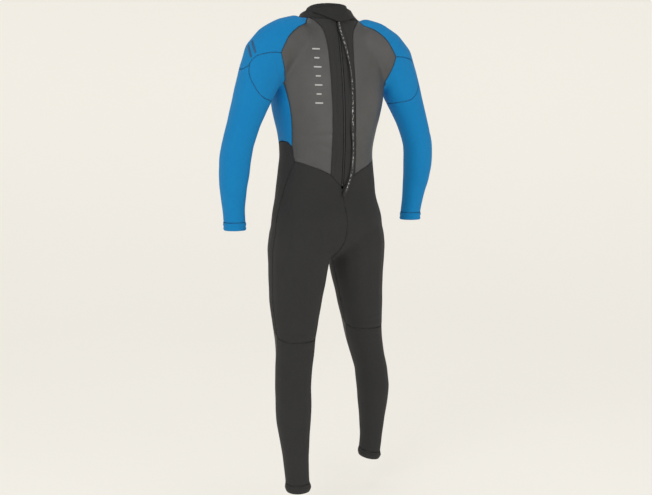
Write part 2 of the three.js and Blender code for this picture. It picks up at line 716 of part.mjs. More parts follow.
const sliderFrame = onZip(SLIDER_HEIGHT, 0.5);
const sliderOutline = new THREE.Shape();
sliderOutline.moveTo(-3.4, -SLIDER_LENGTH / 2);
sliderOutline.lineTo(3.4, -SLIDER_LENGTH / 2);
sliderOutline.quadraticCurveTo(4, 0, SLIDER_HALF_WIDTH, 3);
sliderOutline.quadraticCurveTo(4.6, SLIDER_LENGTH / 2, 2.4, SLIDER_LENGTH / 2);
sliderOutline.lineTo(-2.4, SLIDER_LENGTH / 2);
sliderOutline.quadraticCurveTo(-4.6, SLIDER_LENGTH / 2, -SLIDER_HALF_WIDTH, 3);
sliderOutline.quadraticCurveTo(-4, 0, -3.4, -SLIDER_LENGTH / 2);
const sliderPlate = new THREE.ExtrudeGeometry(sliderOutline, {
  depth: SLIDER_THICKNESS,
  bevelEnabled: false,
  curveSegments: 3,
});

const PIN_HEIGHT = SLIDER_THICKNESS + BAIL_RISE;
const PIN_SPAN = 3.6;
const pin = new THREE.CylinderGeometry(PIN_RADIUS, PIN_RADIUS, 2 * PIN_SPAN, 10);
pin.rotateZ(Math.PI / 2);
pin.translate(0, 0, PIN_HEIGHT);
let slider = solid(sliderPlate).add(solid(pin));
for (const sign of [-1, 1]) {
  const post = new THREE.BoxGeometry(1.2, 3.2, BAIL_RISE + PIN_RADIUS + 0.4);
  post.translate(sign * (PIN_SPAN - 0.6), 0, SLIDER_THICKNESS - 0.4 + (BAIL_RISE + PIN_RADIUS + 0.4) / 2);
  slider = slider.add(solid(post));
}
add("zip_slider", geometryOf(slider).applyMatrix4(sliderFrame), STEEL);

// Pull tab: an eye round the bail's pin and a plate that hangs down from it.
const TAB_HALF_WIDTH = 2.2;
const TAB_LENGTH = 15;
const eye = new THREE.CylinderGeometry(EYE_RADIUS, EYE_RADIUS, 2 * TAB_HALF_WIDTH, 14);
eye.rotateZ(Math.PI / 2);
const eyeHole = new THREE.CylinderGeometry(PIN_RADIUS + 0.3, PIN_RADIUS + 0.3, 8, 10);
eyeHole.rotateZ(Math.PI / 2);
const tabPlate = new THREE.BoxGeometry(2 * TAB_HALF_WIDTH, TAB_LENGTH, 1.3);
tabPlate.translate(0, -TAB_LENGTH / 2 - 1.3, 0.5);
const tab = solid(eye).add(solid(tabPlate)).subtract(solid(eyeHole));
const pinFrame = sliderFrame.clone().multiply(new THREE.Matrix4().makeTranslation(0, 0, PIN_HEIGHT));
add("zip_pull_tab", geometryOf(tab).applyMatrix4(pinFrame), STEEL);

// Pull leash: 10 mm webbing that hangs from the tab down the back, bowing to the wearer's right.
const LEASH_WIDTH = 10;
const LEASH_THICKNESS = 1.6;
// Each point: x, how far it stands off the back, and height.
const leashRoute = [
  [-1, 6.8, 1488],
  [-6, 6.4, 1466],
  [-13, 6, 1438],
  [-19, 5.6, 1408],
  [-24, 5.2, 1376],
  [-27, 5, 1342],
  [-28, 5, 1306],
  [-27.5, 5.2, 1268],
  [-26, 5.4, 1230],
  [-26, 5.6, 1192],
  [-27, 6, 1156],
  [-28, 6.4, 1120],
  [-28, 7, 1086],
  [-25, 8, 1056],
  [-19, 9.4, 1031],
  [-11, 11.6, 1010],
  [-4, 14.4, 996],
];
const tabEnd = new THREE.Vector3(0, -TAB_LENGTH - 1.3 - CLEAR, 0.5).applyMatrix4(pinFrame);
const leashPoints = leashRoute.map(([x, off, height]) => place(x, arcBack(height) + off, height));
const leashCurve = new THREE.CatmullRomCurve3([tabEnd, ...leashPoints]);
const leashSection = new THREE.Shape();
const halfWidth = LEASH_WIDTH / 2;
const halfThickness = LEASH_THICKNESS / 2;
leashSection.moveTo(halfThickness - 0.3, -halfWidth);
for (const [x, y] of [[halfThickness, 0.3 - halfWidth], [halfThickness, halfWidth - 0.3],
  [halfThickness - 0.3, halfWidth], [0.3 - halfThickness, halfWidth], [-halfThickness, halfWidth - 0.3],
  [-halfThickness, 0.3 - halfWidth], [0.3 - halfThickness, -halfWidth]]) leashSection.lineTo(x, y);
const leash = new THREE.ExtrudeGeometry(leashSection, { steps: 26, extrudePath: leashCurve });
add("pull_leash", leash, WEBBING);

// Leash end: the webbing's folded and stitched tip.
const tip = leashCurve.getPoint(1);
const tipRun = leashCurve.getTangent(1);
const endTab = new THREE.BoxGeometry(LEASH_WIDTH + 1.5, 14, 3);
const endAcross = new THREE.Vector3().crossVectors(tipRun, Y).normalize();
const endOut = new THREE.Vector3().crossVectors(endAcross, tipRun).normalize();
endTab.applyMatrix4(new THREE.Matrix4().makeBasis(endAcross, tipRun, endOut));
endTab.translate(...tip.clone().addScaledVector(tipRun, 7 + 0.35).toArray());
add("leash_end_tab", endTab, TAPE);

export default wetsuit;
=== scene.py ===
import json
import math

import bmesh
import bpy
import numpy as np
from mathutils import Matrix, Vector
from mathutils.bvhtree import BVHTree
from mathutils.kdtree import KDTree

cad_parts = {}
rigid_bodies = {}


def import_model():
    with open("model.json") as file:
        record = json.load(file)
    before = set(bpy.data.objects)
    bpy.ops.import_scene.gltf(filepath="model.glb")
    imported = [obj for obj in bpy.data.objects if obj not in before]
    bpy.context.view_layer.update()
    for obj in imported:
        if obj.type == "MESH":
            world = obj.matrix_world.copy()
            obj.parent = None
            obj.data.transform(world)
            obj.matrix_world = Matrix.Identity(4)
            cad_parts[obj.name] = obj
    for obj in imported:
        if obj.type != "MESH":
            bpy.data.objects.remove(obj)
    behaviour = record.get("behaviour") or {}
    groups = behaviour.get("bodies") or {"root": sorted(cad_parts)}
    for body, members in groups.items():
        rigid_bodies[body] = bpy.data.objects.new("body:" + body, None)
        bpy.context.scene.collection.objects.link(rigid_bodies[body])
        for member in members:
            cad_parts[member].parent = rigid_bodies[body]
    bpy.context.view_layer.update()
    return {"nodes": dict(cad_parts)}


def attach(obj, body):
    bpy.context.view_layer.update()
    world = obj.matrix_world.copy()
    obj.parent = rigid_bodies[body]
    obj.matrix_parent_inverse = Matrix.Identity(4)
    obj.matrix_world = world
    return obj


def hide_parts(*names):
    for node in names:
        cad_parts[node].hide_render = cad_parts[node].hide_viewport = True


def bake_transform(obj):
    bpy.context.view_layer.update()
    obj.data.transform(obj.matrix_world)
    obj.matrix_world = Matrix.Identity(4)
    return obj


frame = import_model()


# ---------------------------------------------------------------- camera
# The suit is seen from behind and to the wearer's left side.
# The camera stands at chest height and looks down a little, so that the whole suit is in view.
VIEW_AZIMUTH = math.radians(149)
VIEW_PITCH = math.radians(7.4)
VIEW_DISTANCE = 3.125
EYE_LEVEL = -0.28
VIEW_LENS = 55.33
VIEW_REACH = 60

camera = bpy.data.objects.new("camera", bpy.data.cameras.new("camera"))
bpy.context.scene.collection.objects.link(camera)
camera.data.lens = VIEW_LENS
camera.data.clip_end = VIEW_REACH
toward_eye = Vector((math.sin(VIEW_AZIMUTH), -math.cos(VIEW_AZIMUTH), 0))
camera.location = toward_eye * VIEW_DISTANCE + Vector((0, 0, EYE_LEVEL))
looking = -toward_eye * math.cos(VIEW_PITCH) - Vector((0, 0, math.sin(VIEW_PITCH)))
camera.rotation_mode = "QUATERNION"
camera.rotation_quaternion = looking.to_track_quat("-Z", "Y")
bpy.context.scene.camera = camera
bpy.context.scene.view_settings.view_transform = "Standard"


# ---------------------------------------------------------------- pull leash
# The leash is 10 mm nylon webbing with a white fleck woven into its middle.
# It is sewn through the slider's tab and hangs free down the back, twisting a little.
LEASH_WIDTH = 0.010
LEASH_THICKNESS = 0.0016
LEASH_START = (0.0, 0.07408, 0.0013)
ZIP_ARC_CENTRE_Y = -1.170632
ZIP_ARC_CENTRE_Z = -0.316881
ZIP_ARC_RADIUS = 1.279130
NECK_BASE = 1.5
LEASH_STEPS = 8
# Each point: x, how far it stands off the zip, and height above the soles.
LEASH_ROUTE = [
    (-0.0010, 0.0068, 1.488),
    (-0.0060, 0.0064, 1.466),
    (-0.0130, 0.0060, 1.438),
    (-0.0190, 0.0056, 1.408),
    (-0.0240, 0.0052, 1.376),
    (-0.0270, 0.0050, 1.342),
    (-0.0280, 0.0050, 1.306),
    (-0.0275, 0.0052, 1.268),
    (-0.0260, 0.0054, 1.230),
    (-0.0260, 0.0056, 1.192),
    (-0.0270, 0.0060, 1.156),
    (-0.0280, 0.0064, 1.120),
    (-0.0280, 0.0070, 1.086),
    (-0.0250, 0.0080, 1.056),
    (-0.0190, 0.0094, 1.031),
    (-0.0110, 0.0116, 1.010),
    (-0.0040, 0.0144, 0.996),
]


def zip_back(z):
    """How far back the zip's arc lies at height z."""
    return ZIP_ARC_CENTRE_Y + np.sqrt(ZIP_ARC_RADIUS**2 - (z - ZIP_ARC_CENTRE_Z) ** 2)


def smooth_path(points, between):
    """A smooth line through every point, with a few more points between each two."""
    ends = [2 * points[0] - points[1], *points, 2 * points[-1] - points[-2]]
    line = []
    for a, b, c, d in zip(ends, ends[1:], ends[2:], ends[3:]):
        for step in range(between):
            t = step / between
            bend = 2 * a - 5 * b + 4 * c - d
            twist = 3 * b - a - 3 * c + d
            line.append(0.5 * (2 * b + (c - a) * t + bend * t**2 + twist * t**3))
    return [*line, points[-1]]


def new_piece(name, points, faces, materials, face_material=None):
    """A smooth-shaded mesh object with its materials."""
    mesh = bpy.data.meshes.new(name)
    mesh.from_pydata([tuple(p) for p in points], [], [tuple(f) for f in faces])
    for material in materials:
        mesh.materials.append(material)
    if face_material is not None:
        mesh.polygons.foreach_set("material_index", face_material)
    mesh.polygons.foreach_set("use_smooth", [True] * len(mesh.polygons))
    mesh.validate()
    piece = bpy.data.objects.new(name, mesh)
    bpy.context.scene.collection.objects.link(piece)
    return piece


class Finish:
    """A procedural material: one shader, with textures placed in the object's own metres."""

    def __init__(self, name, roughness, metallic=0.0):
        self.material = bpy.data.materials.new(name)
        self.material.use_nodes = True
        self.nodes = self.material.node_tree.nodes
        self.shader = self.nodes["Principled BSDF"]
        self.shader.inputs["Roughness"].default_value = roughness
        self.shader.inputs["Metallic"].default_value = metallic
        self.place = self.nodes.new("ShaderNodeTexCoord").outputs["Object"]
        self.bump_from = None

    def link(self, output, target):
        self.material.node_tree.links.new(output, target)

    def noise(self, scale, detail=2.0, stretch=None):
        texture = self.nodes.new("ShaderNodeTexNoise")
        texture.inputs["Scale"].default_value = scale
        texture.inputs["Detail"].default_value = detail
        self.link(self.stretched(stretch), texture.inputs["Vector"])
        return texture.outputs["Fac"]

    def cells(self, scale, stretch=None):
        texture = self.nodes.new("ShaderNodeTexVoronoi")
        texture.inputs["Scale"].default_value = scale
        self.link(self.stretched(stretch), texture.inputs["Vector"])
        return texture.outputs["Distance"]

    def ribs(self, scale, axis, warp=0.0, stretch=None):
        texture = self.nodes.new("ShaderNodeTexWave")
        texture.bands_direction = axis
        texture.inputs["Scale"].default_value = scale
        texture.inputs["Distortion"].default_value = warp
        self.link(self.stretched(stretch), texture.inputs["Vector"])
        return texture.outputs["Fac"]

    def stretched(self, stretch):
        if stretch is None:
            return self.place
        mapping = self.nodes.new("ShaderNodeMapping")
        mapping.inputs["Scale"].default_value = stretch
        self.link(self.place, mapping.inputs["Vector"])
        return mapping.outputs["Vector"]

    def ramp(self, value, stops):
        ramp = self.nodes.new("ShaderNodeValToRGB")
        ramp.color_ramp.elements[0].position = stops[0][0]
        ramp.color_ramp.elements[0].color = (*stops[0][1], 1)
        ramp.color_ramp.elements[1].position = stops[-1][0]
        ramp.color_ramp.elements[1].color = (*stops[-1][1], 1)
        for position, colour in stops[1:-1]:
            ramp.color_ramp.elements.new(position).color = (*colour, 1)
        self.link(value, ramp.inputs["Fac"])
        return ramp.outputs["Color"]

    def mixed(self, colour_a, colour_b, share, kind="MIX"):
        mix = self.nodes.new("ShaderNodeMix")
        mix.data_type = "RGBA"
        mix.blend_type = kind
        sockets = (mix.inputs[0], mix.inputs[6], mix.inputs[7])
        for socket, value in zip(sockets, (share, colour_a, colour_b)):
            if isinstance(value, bpy.types.NodeSocket):
                self.link(value, socket)
            elif isinstance(value, (int, float)):
                socket.default_value = value
            else:
                socket.default_value = (*value, 1)
        return mix.outputs[2]

    def colour(self, value):
        self.link(value, self.shader.inputs["Base Color"])

    def rough(self, value, low, high):
        spread = self.nodes.new("ShaderNodeMapRange")
        spread.inputs["To Min"].default_value = low
        spread.inputs["To Max"].default_value = high
        self.link(value, spread.inputs["Value"])
        self.link(spread.outputs["Result"], self.shader.inputs["Roughness"])

    def relief(self, value, depth, strength=1.0):
        bump = self.nodes.new("ShaderNodeBump")
        bump.inputs["Strength"].default_value = strength
        bump.inputs["Distance"].default_value = depth
        self.link(value, bump.inputs["Height"])
        if self.bump_from is not None:
            self.link(self.bump_from, bump.inputs["Normal"])
        self.bump_from = bump.outputs["Normal"]
        self.link(self.bump_from, self.shader.inputs["Normal"])

    def shine(self, level):
        self.shader.inputs["Specular IOR Level"].default_value = level

    def sheen(self, weight, roughness=0.4):
        self.shader.inputs["Sheen Weight"].default_value = weight
        self.shader.inputs["Sheen Roughness"].default_value = roughness


def webbing_finish():
    """Black nylon with a ribbed weave and a broken white fleck along it."""
    finish = Finish("webbing", 0.72)
    ribs = finish.ribs(240, "Z", 0.6)
    fleck = finish.ramp(finish.noise(420, 3, (1, 1, 0.45)), [(0.53, (0, 0, 0)), (0.60, (1, 1, 1))])
    edge = finish.nodes.new("ShaderNodeAttribute")
    edge.attribute_name = "across"
    middle = finish.ramp(edge.outputs["Fac"], [(0.30, (1, 1, 1)), (0.52, (0, 0, 0))])
    share = finish.mixed(fleck, middle, 1.0, "MULTIPLY")
    black = finish.ramp(ribs, [(0.0, (0.012, 0.012, 0.013)), (1.0, (0.028, 0.028, 0.030))])
    finish.colour(finish.mixed(black, (0.50, 0.50, 0.50), share))
    finish.relief(ribs, 0.0004)
    finish.sheen(0.15)
    return finish.material


leash_points = [Vector(LEASH_START)]
for x, off, height in LEASH_ROUTE:
    leash_points.append(Vector((x, zip_back(height - NECK_BASE) + off, height - NECK_BASE)))
leash_path = smooth_path(leash_points, LEASH_STEPS)

LEASH_TWIST = math.radians(38)
LEASH_TWISTS = 2.5
# The strip's section, in half widths and half thicknesses, one face and then the other.
LEASH_SECTION = [(-1, -0.55), (-0.86, -1), (-0.4, -1), (0, -1), (0.4, -1), (0.86, -1), (1, -0.55)]
LEASH_SECTION += [(-x, -y) for x, y in LEASH_SECTION]


def webbing_strip(path, width, thickness, twist):
    """Rings of a flat woven strip along a path, turning by twist(share of the length)."""
    points, across_values = [], []
    for i, centre in enumerate(path):
        run = (path[min(i + 1, len(path) - 1)] - path[max(i - 1, 0)]).normalized()
        side = run.cross(Vector((0, 1, 0))).normalized()
        side.rotate(Matrix.Rotation(twist(i / (len(path) - 1)), 3, run))
        out = side.cross(run)
        for x, y in LEASH_SECTION:
            points.append(centre + side * x * width / 2 + out * y * thickness / 2)
            across_values.append(abs(x))
    sides = len(LEASH_SECTION)
    faces = []
    for i in range(len(path) - 1):
        for k in range(sides):
            a, b = i * sides + k, i * sides + (k + 1) % sides
            faces.append((a, b, b + sides, a + sides))
    faces.append(tuple(reversed(range(sides))))
    faces.append(tuple(range((len(path) - 1) * sides, len(path) * sides)))
    return points, faces, across_values


def leash_turn(share):
    """How far the strip has turned at a share of its length, with none at its start."""
    ends = math.sin(math.pi * min(1.0, share * 1.15))
    return LEASH_TWIST * ends * math.sin(math.tau * LEASH_TWISTS * share)


strip, strip_faces, strip_across = webbing_strip(leash_path, LEASH_WIDTH, LEASH_THICKNESS, leash_turn)
leash = new_piece("pull_leash_webbing", strip, strip_faces, [webbing_finish()])
attribute = leash.data.attributes.new("across", "FLOAT", "POINT")
attribute.data.foreach_set("value", strip_across)
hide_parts("pull_leash")
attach(leash, "leash")


# ---------------------------------------------------------------- soft parts from their solids
# Small cut parts take the frame's solid, rebuilt finely and rounded as foam and cloth edges are.
# The first of them is the leash's folded end, which the leash carries.
def joined_solids(name, nodes, grow):
    """The named solids in one mesh, each grown a little along its normals."""
    shape = bmesh.new()
    for node in nodes:
        shape.from_mesh(frame["nodes"][node].data)
    bmesh.ops.remove_doubles(shape, verts=shape.verts, dist=1e-5)
    bmesh.ops.recalc_face_normals(shape, faces=shape.faces)
    shape.normal_update()
    for vertex in shape.verts:
        vertex.co += vertex.normal * grow
    mesh = bpy.data.meshes.new(name)
    shape.to_mesh(mesh)
    shape.free()
    piece = bpy.data.objects.new(name, mesh)
    bpy.context.scene.collection.objects.link(piece)
    return piece


def remeshed(piece, voxel):
    """Rebuilds the piece's mesh as an even net of quads."""
    modifier = piece.modifiers.new("net", "REMESH")
    modifier.mode = "VOXEL"
    modifier.voxel_size = voxel
    evaluated = piece.evaluated_get(bpy.context.evaluated_depsgraph_get())
    mesh = bpy.data.meshes.new_from_object(evaluated)
    piece.modifiers.clear()
    piece.data = mesh


def positions(mesh):
    """Where the mesh's points are, one row each."""
    co = np.empty(len(mesh.vertices) * 3, np.float32)
    mesh.vertices.foreach_get("co", co)
    return co.reshape(-1, 3).astype(float)


def normals(mesh):
    """Which way the surface faces at each of the mesh's points."""
    values = np.empty(len(mesh.vertices) * 3, np.float32)
    mesh.vertex_normals.foreach_get("vector", values)
    return values.reshape(-1, 3).astype(float)


def relaxed(mesh, rounds):
    """Moves each point halfway to the middle of its neighbours, several times."""
    edges = np.empty(len(mesh.edges) * 2, np.int32)
    mesh.edges.foreach_get("vertices", edges)
    a, b = edges.reshape(-1, 2).T
    co = positions(mesh)
    count = len(co)
    degree = np.maximum(np.bincount(a, minlength=count) + np.bincount(b, minlength=count), 1)
    for _ in range(rounds):
        for k in range(3):
            total = np.bincount(a, co[b, k], count) + np.bincount(b, co[a, k], count)
            co[:, k] += 0.5 * (total / degree - co[:, k])
    mesh.vertices.foreach_set("co", co.astype(np.float32).ravel())
    mesh.update()


def soft_part(name, node, voxel, rounds, material, body, grow=0.0):
    """One CAD solid as a rounded soft piece on its body."""
    piece = joined_solids(name, [node], grow)
    remeshed(piece, voxel)
    relaxed(piece.data, rounds)
    piece.data.materials.clear()
    piece.data.materials.append(material)
    piece.data.polygons.foreach_set("use_smooth", [True] * len(piece.data.polygons))
    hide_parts(node)
    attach(piece, body)
    return piece


def tape_finish():
    """Black woven tape."""
    finish = Finish("tape", 0.8)
    weave = finish.mixed(finish.ribs(420, "X", 0.4), finish.ribs(420, "Z", 0.4), 0.5)
    finish.colour(finish.ramp(weave, [(0.1, (0.008, 0.008, 0.009)), (0.9, (0.022, 0.022, 0.024))]))
    finish.relief(weave, 0.0003)
    finish.sheen(0.2)
    return finish.material


black_tape = tape_finish()
end_tab = soft_part(
    "leash_end_fold", "leash_end_tab", voxel=0.0005, rounds=3, material=black_tape, body="leash"
)


# ---------------------------------------------------------------- neoprene panels
# The suit is cut from 3 mm neoprene: smooth skin on chest and back, knitted jersey elsewhere.
# The panels are one stretched skin here, smoothed, then parted along their sewn seams.
SIDES = ("left", "right")
SIDED_PANELS = [
    "back_panel",
    "zip_panel",
    "shoulder_panel",
    "underarm_panel",
    "sleeve",
    "cuff_band",
    "seat_panel",
    "knee_pad",
    "lower_leg_panel",
    "ankle_band",
]
PANELS = [f"{side}_{panel}" for side in SIDES for panel in SIDED_PANELS]
PANELS += ["chest_panel", "front_body_panel", "collar"]
SEAM_CLOSING = 0.0006
FIRST_NET = 0.0022
SKIN_NET = 0.0032
SKIN_ROUNDS = 44
SKIN_REGAIN = 0.0017
PLUG_INSIDE = 0.004
PLUG_OUTSIDE = 0.030
ZIP_SLOT = 0.0033
ZIP_SLOT_BOTTOM = -0.4946
BACK_SIDE = 0.03
THIGH_SPLIT = -0.82
HEM_RING_DEPTH = 0.0008
COLLAR_FRONT = -0.05
COLLAR_BACK = 0.04
RIGHT_HEM_SLOPE = Vector((-0.2, 0.1, 1)).normalized()


def hem_ring(node, down):
    """The points of a band's solid that lie on its open end."""
    points = [v.co.copy() for v in frame["nodes"][node].data.vertices]
    lowest = max(p.dot(down) for p in points)
    return [p for p in points if p.dot(down) > lowest - HEM_RING_DEPTH], lowest


def plug(name, ring, down):
    """A solid end that closes an opening while the skin is smoothed."""
    shape = bmesh.new()
    for point in ring:
        shape.verts.new(point - down * PLUG_INSIDE)
        shape.verts.new(point + down * PLUG_OUTSIDE)
    bmesh.ops.convex_hull(shape, input=shape.verts)
    mesh = bpy.data.meshes.new(name)
    shape.to_mesh(mesh)
    shape.free()
    return mesh


DOWN = Vector((0, 0, -1))
UP = Vector((0, 0, 1))
openings = [("left_cuff_band", DOWN), ("right_cuff_band", DOWN), ("left_ankle_band", DOWN)]
openings.append(("right_ankle_band", -RIGHT_HEM_SLOPE))
collar_points = [v.co for v in frame["nodes"]["collar"].data.vertices]
collar_front = max((p for p in collar_points if p.y < COLLAR_FRONT), key=lambda p: p.z)
collar_back = max((p for p in collar_points if p.y > COLLAR_BACK), key=lambda p: p.z)
across_collar = collar_back - collar_front
COLLAR_UP = Vector((0, -across_collar.z, across_collar.y)).normalized()
openings.append(("collar", COLLAR_UP))

skin = joined_solids("suit_skin", PANELS, SEAM_CLOSING)
with_plugs = bmesh.new()
with_plugs.from_mesh(skin.data)
hems = []
for node, down in openings:
    ring, reach = hem_ring(node, down)
    hems.append((node, down, reach, sum(ring, Vector()) / len(ring)))
    with_plugs.from_mesh(plug("plug", ring, down))

# A thin bar along the zip closes the slot between the zip panels while the skin is smoothed.
SLOT_BAR_RINGS = 60
SLOT_BAR_STEP = 0.0096
SLOT_BAR_START = ZIP_SLOT_BOTTOM - 0.004
SLOT_BAR_HALF_WIDTH = 0.0045
SLOT_BAR_DEPTHS = (-0.006, 0.0002)
slot_points = []
for i in range(SLOT_BAR_RINGS):
    z = SLOT_BAR_START + i * SLOT_BAR_STEP
    for x in (-SLOT_BAR_HALF_WIDTH, SLOT_BAR_HALF_WIDTH):
        for depth in SLOT_BAR_DEPTHS:
            slot_points.append(Vector((x, zip_back(z) + depth, z)))
slot_faces = []
for i in range(SLOT_BAR_RINGS - 1):
    a = 4 * i
    for k, m in ((0, 2), (2, 3), (3, 1), (1, 0)):
        slot_faces.append((a + k, a + m, a + m + 4, a + k + 4))
top = 4 * (SLOT_BAR_RINGS - 1)
slot_faces += [(0, 1, 3, 2), (top, top + 2, top + 3, top + 1)]
slot_mesh = bpy.data.meshes.new("slot")
slot_mesh.from_pydata([tuple(p) for p in slot_points], [], slot_faces)
with_plugs.from_mesh(slot_mesh)
with_plugs.to_mesh(skin.data)
with_plugs.free()
remeshed(skin, FIRST_NET)


def outer_shell(piece):
    """Keeps the loose part that spans the widest box, and removes the rest."""
    before = set(bpy.data.objects)
    for other in bpy.context.selected_objects:
        other.select_set(False)
    piece.select_set(True)
    bpy.context.view_layer.objects.active = piece
    bpy.ops.mesh.separate(type="LOOSE")
    parts = [piece, *(o for o in bpy.data.objects if o not in before)]
    spans = [positions(o.data) for o in parts]
    widest = max(range(len(parts)), key=lambda i: np.ptp(spans[i], axis=0).prod())
    for i, part in enumerate(parts):
        if i != widest:
            bpy.data.objects.remove(part)
    return parts[widest]


skin = outer_shell(skin)
remeshed(skin, SKIN_NET)
relaxed(skin.data, SKIN_ROUNDS)


def bell(values, centre, width):
    """One at the centre, fading to nothing on both sides."""
    return np.exp(-(((values - centre) / width) ** 2))


def eased(values, nothing, full):
    """Nothing up to one value and one from the other on, in a straight line between."""
    return np.clip((values - nothing) / (full - nothing), 0, 1)


# Each crease: its middle, the way it runs, half its length, its half width and its depth.
# They are given for the wearer's left, and the right has them mirrored.
CREASES = [
    ((0.085, 0.105, -0.335), (1, 0, -0.10), 0.070, 0.0075, 0.0013),
    ((0.050, 0.104, -0.372), (1, 0, 0.35), 0.045, 0.0065, 0.0009),
    ((0.318, 0.010, -0.345), (0.5, 1, 0.10), 0.035, 0.0060, 0.0014),
    ((0.322, 0.012, -0.368), (0.5, 1, 0.00), 0.030, 0.0055, 0.0011),
    ((0.330, 0.055, -0.330), (1, -0.3, 0.20), 0.032, 0.0060, 0.0008),
    ((0.205, 0.060, -0.150), (0.25, 0.2, 1), 0.050, 0.0070, 0.0014),
    ((0.190, 0.070, -0.170), (0.05, 0.1, 1), 0.060, 0.0080, 0.0010),
    ((0.070, 0.095, -0.672), (1, 0, 0.25), 0.055, 0.0100, 0.0014),
    ((0.060, 0.080, -0.700), (1, 0, 0.50), 0.040, 0.0070, 0.0009),
]
KNEE_CREASES = [
    ((0.148, 0.122, -0.925), (1, 0, 0.10), 0.034, 0.0060, 0.0010),
    ((0.150, 0.124, -0.950), (1, 0, -0.05), 0.038, 0.0065, 0.0014),
    ((0.152, 0.128, -0.976), (1, 0, -0.15), 0.032, 0.0060, 0.0009),
]
RIGHT_LEG_FORWARD = Vector((0, -0.072, 0))
# A crease's raised lips, as a share of its depth, then how far they stand and it spreads, in widths.
CREASE_LIPS = 0.55
CREASE_LIPS_AWAY = 2.1
CREASE_SPREAD = 4.5
WAVE_DEPTH = 0.0006
RIPPLE_DEPTH = 0.0004
# The long folds beside the zip: their depth, spacing and band, and where they start and die out.
ZIP_FOLD_DEPTH = 0.0018
ZIP_FOLD_WIDTH = 0.019
ZIP_FOLD_MIDDLE = 0.025
ZIP_FOLD_REACH = 0.013
ZIP_FOLD_BOTTOM = (-0.47, -0.41)
ZIP_FOLD_TOP = (-0.03, -0.08)
# The band the zip holds: flat this far from its middle, free this far, and fading at its ends.
ZIP_HOLD_FLAT = 0.0065
ZIP_HOLD_WIDTH = 0.018
ZIP_HOLD_BOTTOM = (-0.505, -0.485)
ZIP_HOLD_TOP = (0.03, 0.01)
BAND_REACH = 0.08
WRIST_ROLL = 0.0021
ANKLE_ROLL = 0.0036
HEM_TUCK = 0.0014


def creased(co):
    """How far each point of the skin moves out, in metres."""
    x, y, z = co.T
    out = WAVE_DEPTH * np.sin(31 * x + 17 * z) * np.sin(23 * z - 19 * y + 1.3)
    out += RIPPLE_DEPTH * np.sin(63 * x - 41 * z + 0.7) * np.sin(57 * y + 47 * z)
    beside_zip = bell(np.abs(x), ZIP_FOLD_MIDDLE, ZIP_FOLD_REACH) * (y > BACK_SIDE)
    beside_zip = beside_zip * eased(z, *ZIP_FOLD_BOTTOM) * eased(z, *ZIP_FOLD_TOP)
    sway = 0.35 * np.sin(11 * z + 0.5) + 0.2 * np.sin(29 * z)
    out += ZIP_FOLD_DEPTH * beside_zip * np.sin(math.tau * (x / ZIP_FOLD_WIDTH + sway))
    creases = [(Vector(c), Vector(run), *size) for c, run, *size in CREASES + KNEE_CREASES]
    for middle, run, reach, width, depth in list(creases):
        other = Vector((-middle.x, middle.y, middle.z))
        if middle.z < THIGH_SPLIT:
            other += RIGHT_LEG_FORWARD
        creases.append((other, Vector((-run.x, run.y, run.z)), reach, width, depth))
    for middle, run, reach, width, depth in creases:
        away = co - np.array(middle)
        run = np.array(run.normalized())
        along = away @ run
        aside = away - np.outer(along, run)
        slant = aside @ np.array(fold_across(run))
        near = bell(along, 0, reach) * bell(np.linalg.norm(aside, axis=1), 0, CREASE_SPREAD * width)
        lips = CREASE_LIPS * bell(np.abs(slant), CREASE_LIPS_AWAY * width, width)
        out += near * depth * (lips - bell(slant, 0, width))
    return out + rolled_hems(co)


def rolled_hems(co):
    """The wrist and ankle bands stand out like a soft roll and tuck in at their edge."""
    out = np.zeros(len(co))
    for node, down, reach, middle in hems:
        if node == "collar":
            continue
        height = reach - co @ np.array(down)
        near = np.linalg.norm(co - np.array(middle), axis=1) < BAND_REACH
        around = np.arctan2(co[:, 1] - middle.y, co[:, 0] - middle.x)
        ruffle = 1 + 0.22 * np.sin(5 * around + 1) + 0.12 * np.sin(11 * around)
        if node.endswith("cuff_band"):
            roll = WRIST_ROLL * (bell(height, 0.018, 0.005) + bell(height, 0.004, 0.005))
        else:
            roll = ANKLE_ROLL * bell(height, 0.013, 0.010)
        out += near * (roll * ruffle - HEM_TUCK * bell(height, 0, 0.003))
    return out


def fold_across(run):
    """The direction across a crease: up for one that runs sideways, sideways for an upright one."""
    side = Vector((1, 0, 0)) if abs(run[2]) > 0.7 else Vector((0, 0, 1))
    return (side - Vector(run) * side.dot(Vector(run))).normalized()


skin_points = positions(skin.data)
skin_points += normals(skin.data) * (SKIN_REGAIN + creased(skin_points))[:, None]
# Beside the zip the tape holds the cloth down to the zip's own curve, so that the slider runs clear.
x, y, z = skin_points.T
held = eased(np.abs(x), ZIP_HOLD_WIDTH, ZIP_HOLD_FLAT) * (y > BACK_SIDE)
held = held * eased(z, *ZIP_HOLD_BOTTOM) * eased(z, *ZIP_HOLD_TOP)
skin_points[:, 1] += held * held * (3 - 2 * held) * (zip_back(z) - y)
skin.data.vertices.foreach_set("co", skin_points.astype(np.float32).ravel())
skin.data.update()

# The ends of the plugs come off at each hem.
body = bmesh.new()
body.from_mesh(skin.data)
HEM_REACH = 0.062
COLLAR_REACH = 0.135
for node, down, reach, middle in hems:
    near = COLLAR_REACH if node == "collar" else HEM_REACH
    faces = [f for f in body.faces if (f.calc_center_median() - middle).length < near]
    edges = dict.fromkeys(e for f in faces for e in f.edges)
    corners = dict.fromkeys(v for f in faces for v in f.verts)
    parts = [*corners, *edges, *faces]
    bmesh.ops.bisect_plane(body, geom=parts, plane_co=down * reach, plane_no=down, clear_outer=True)

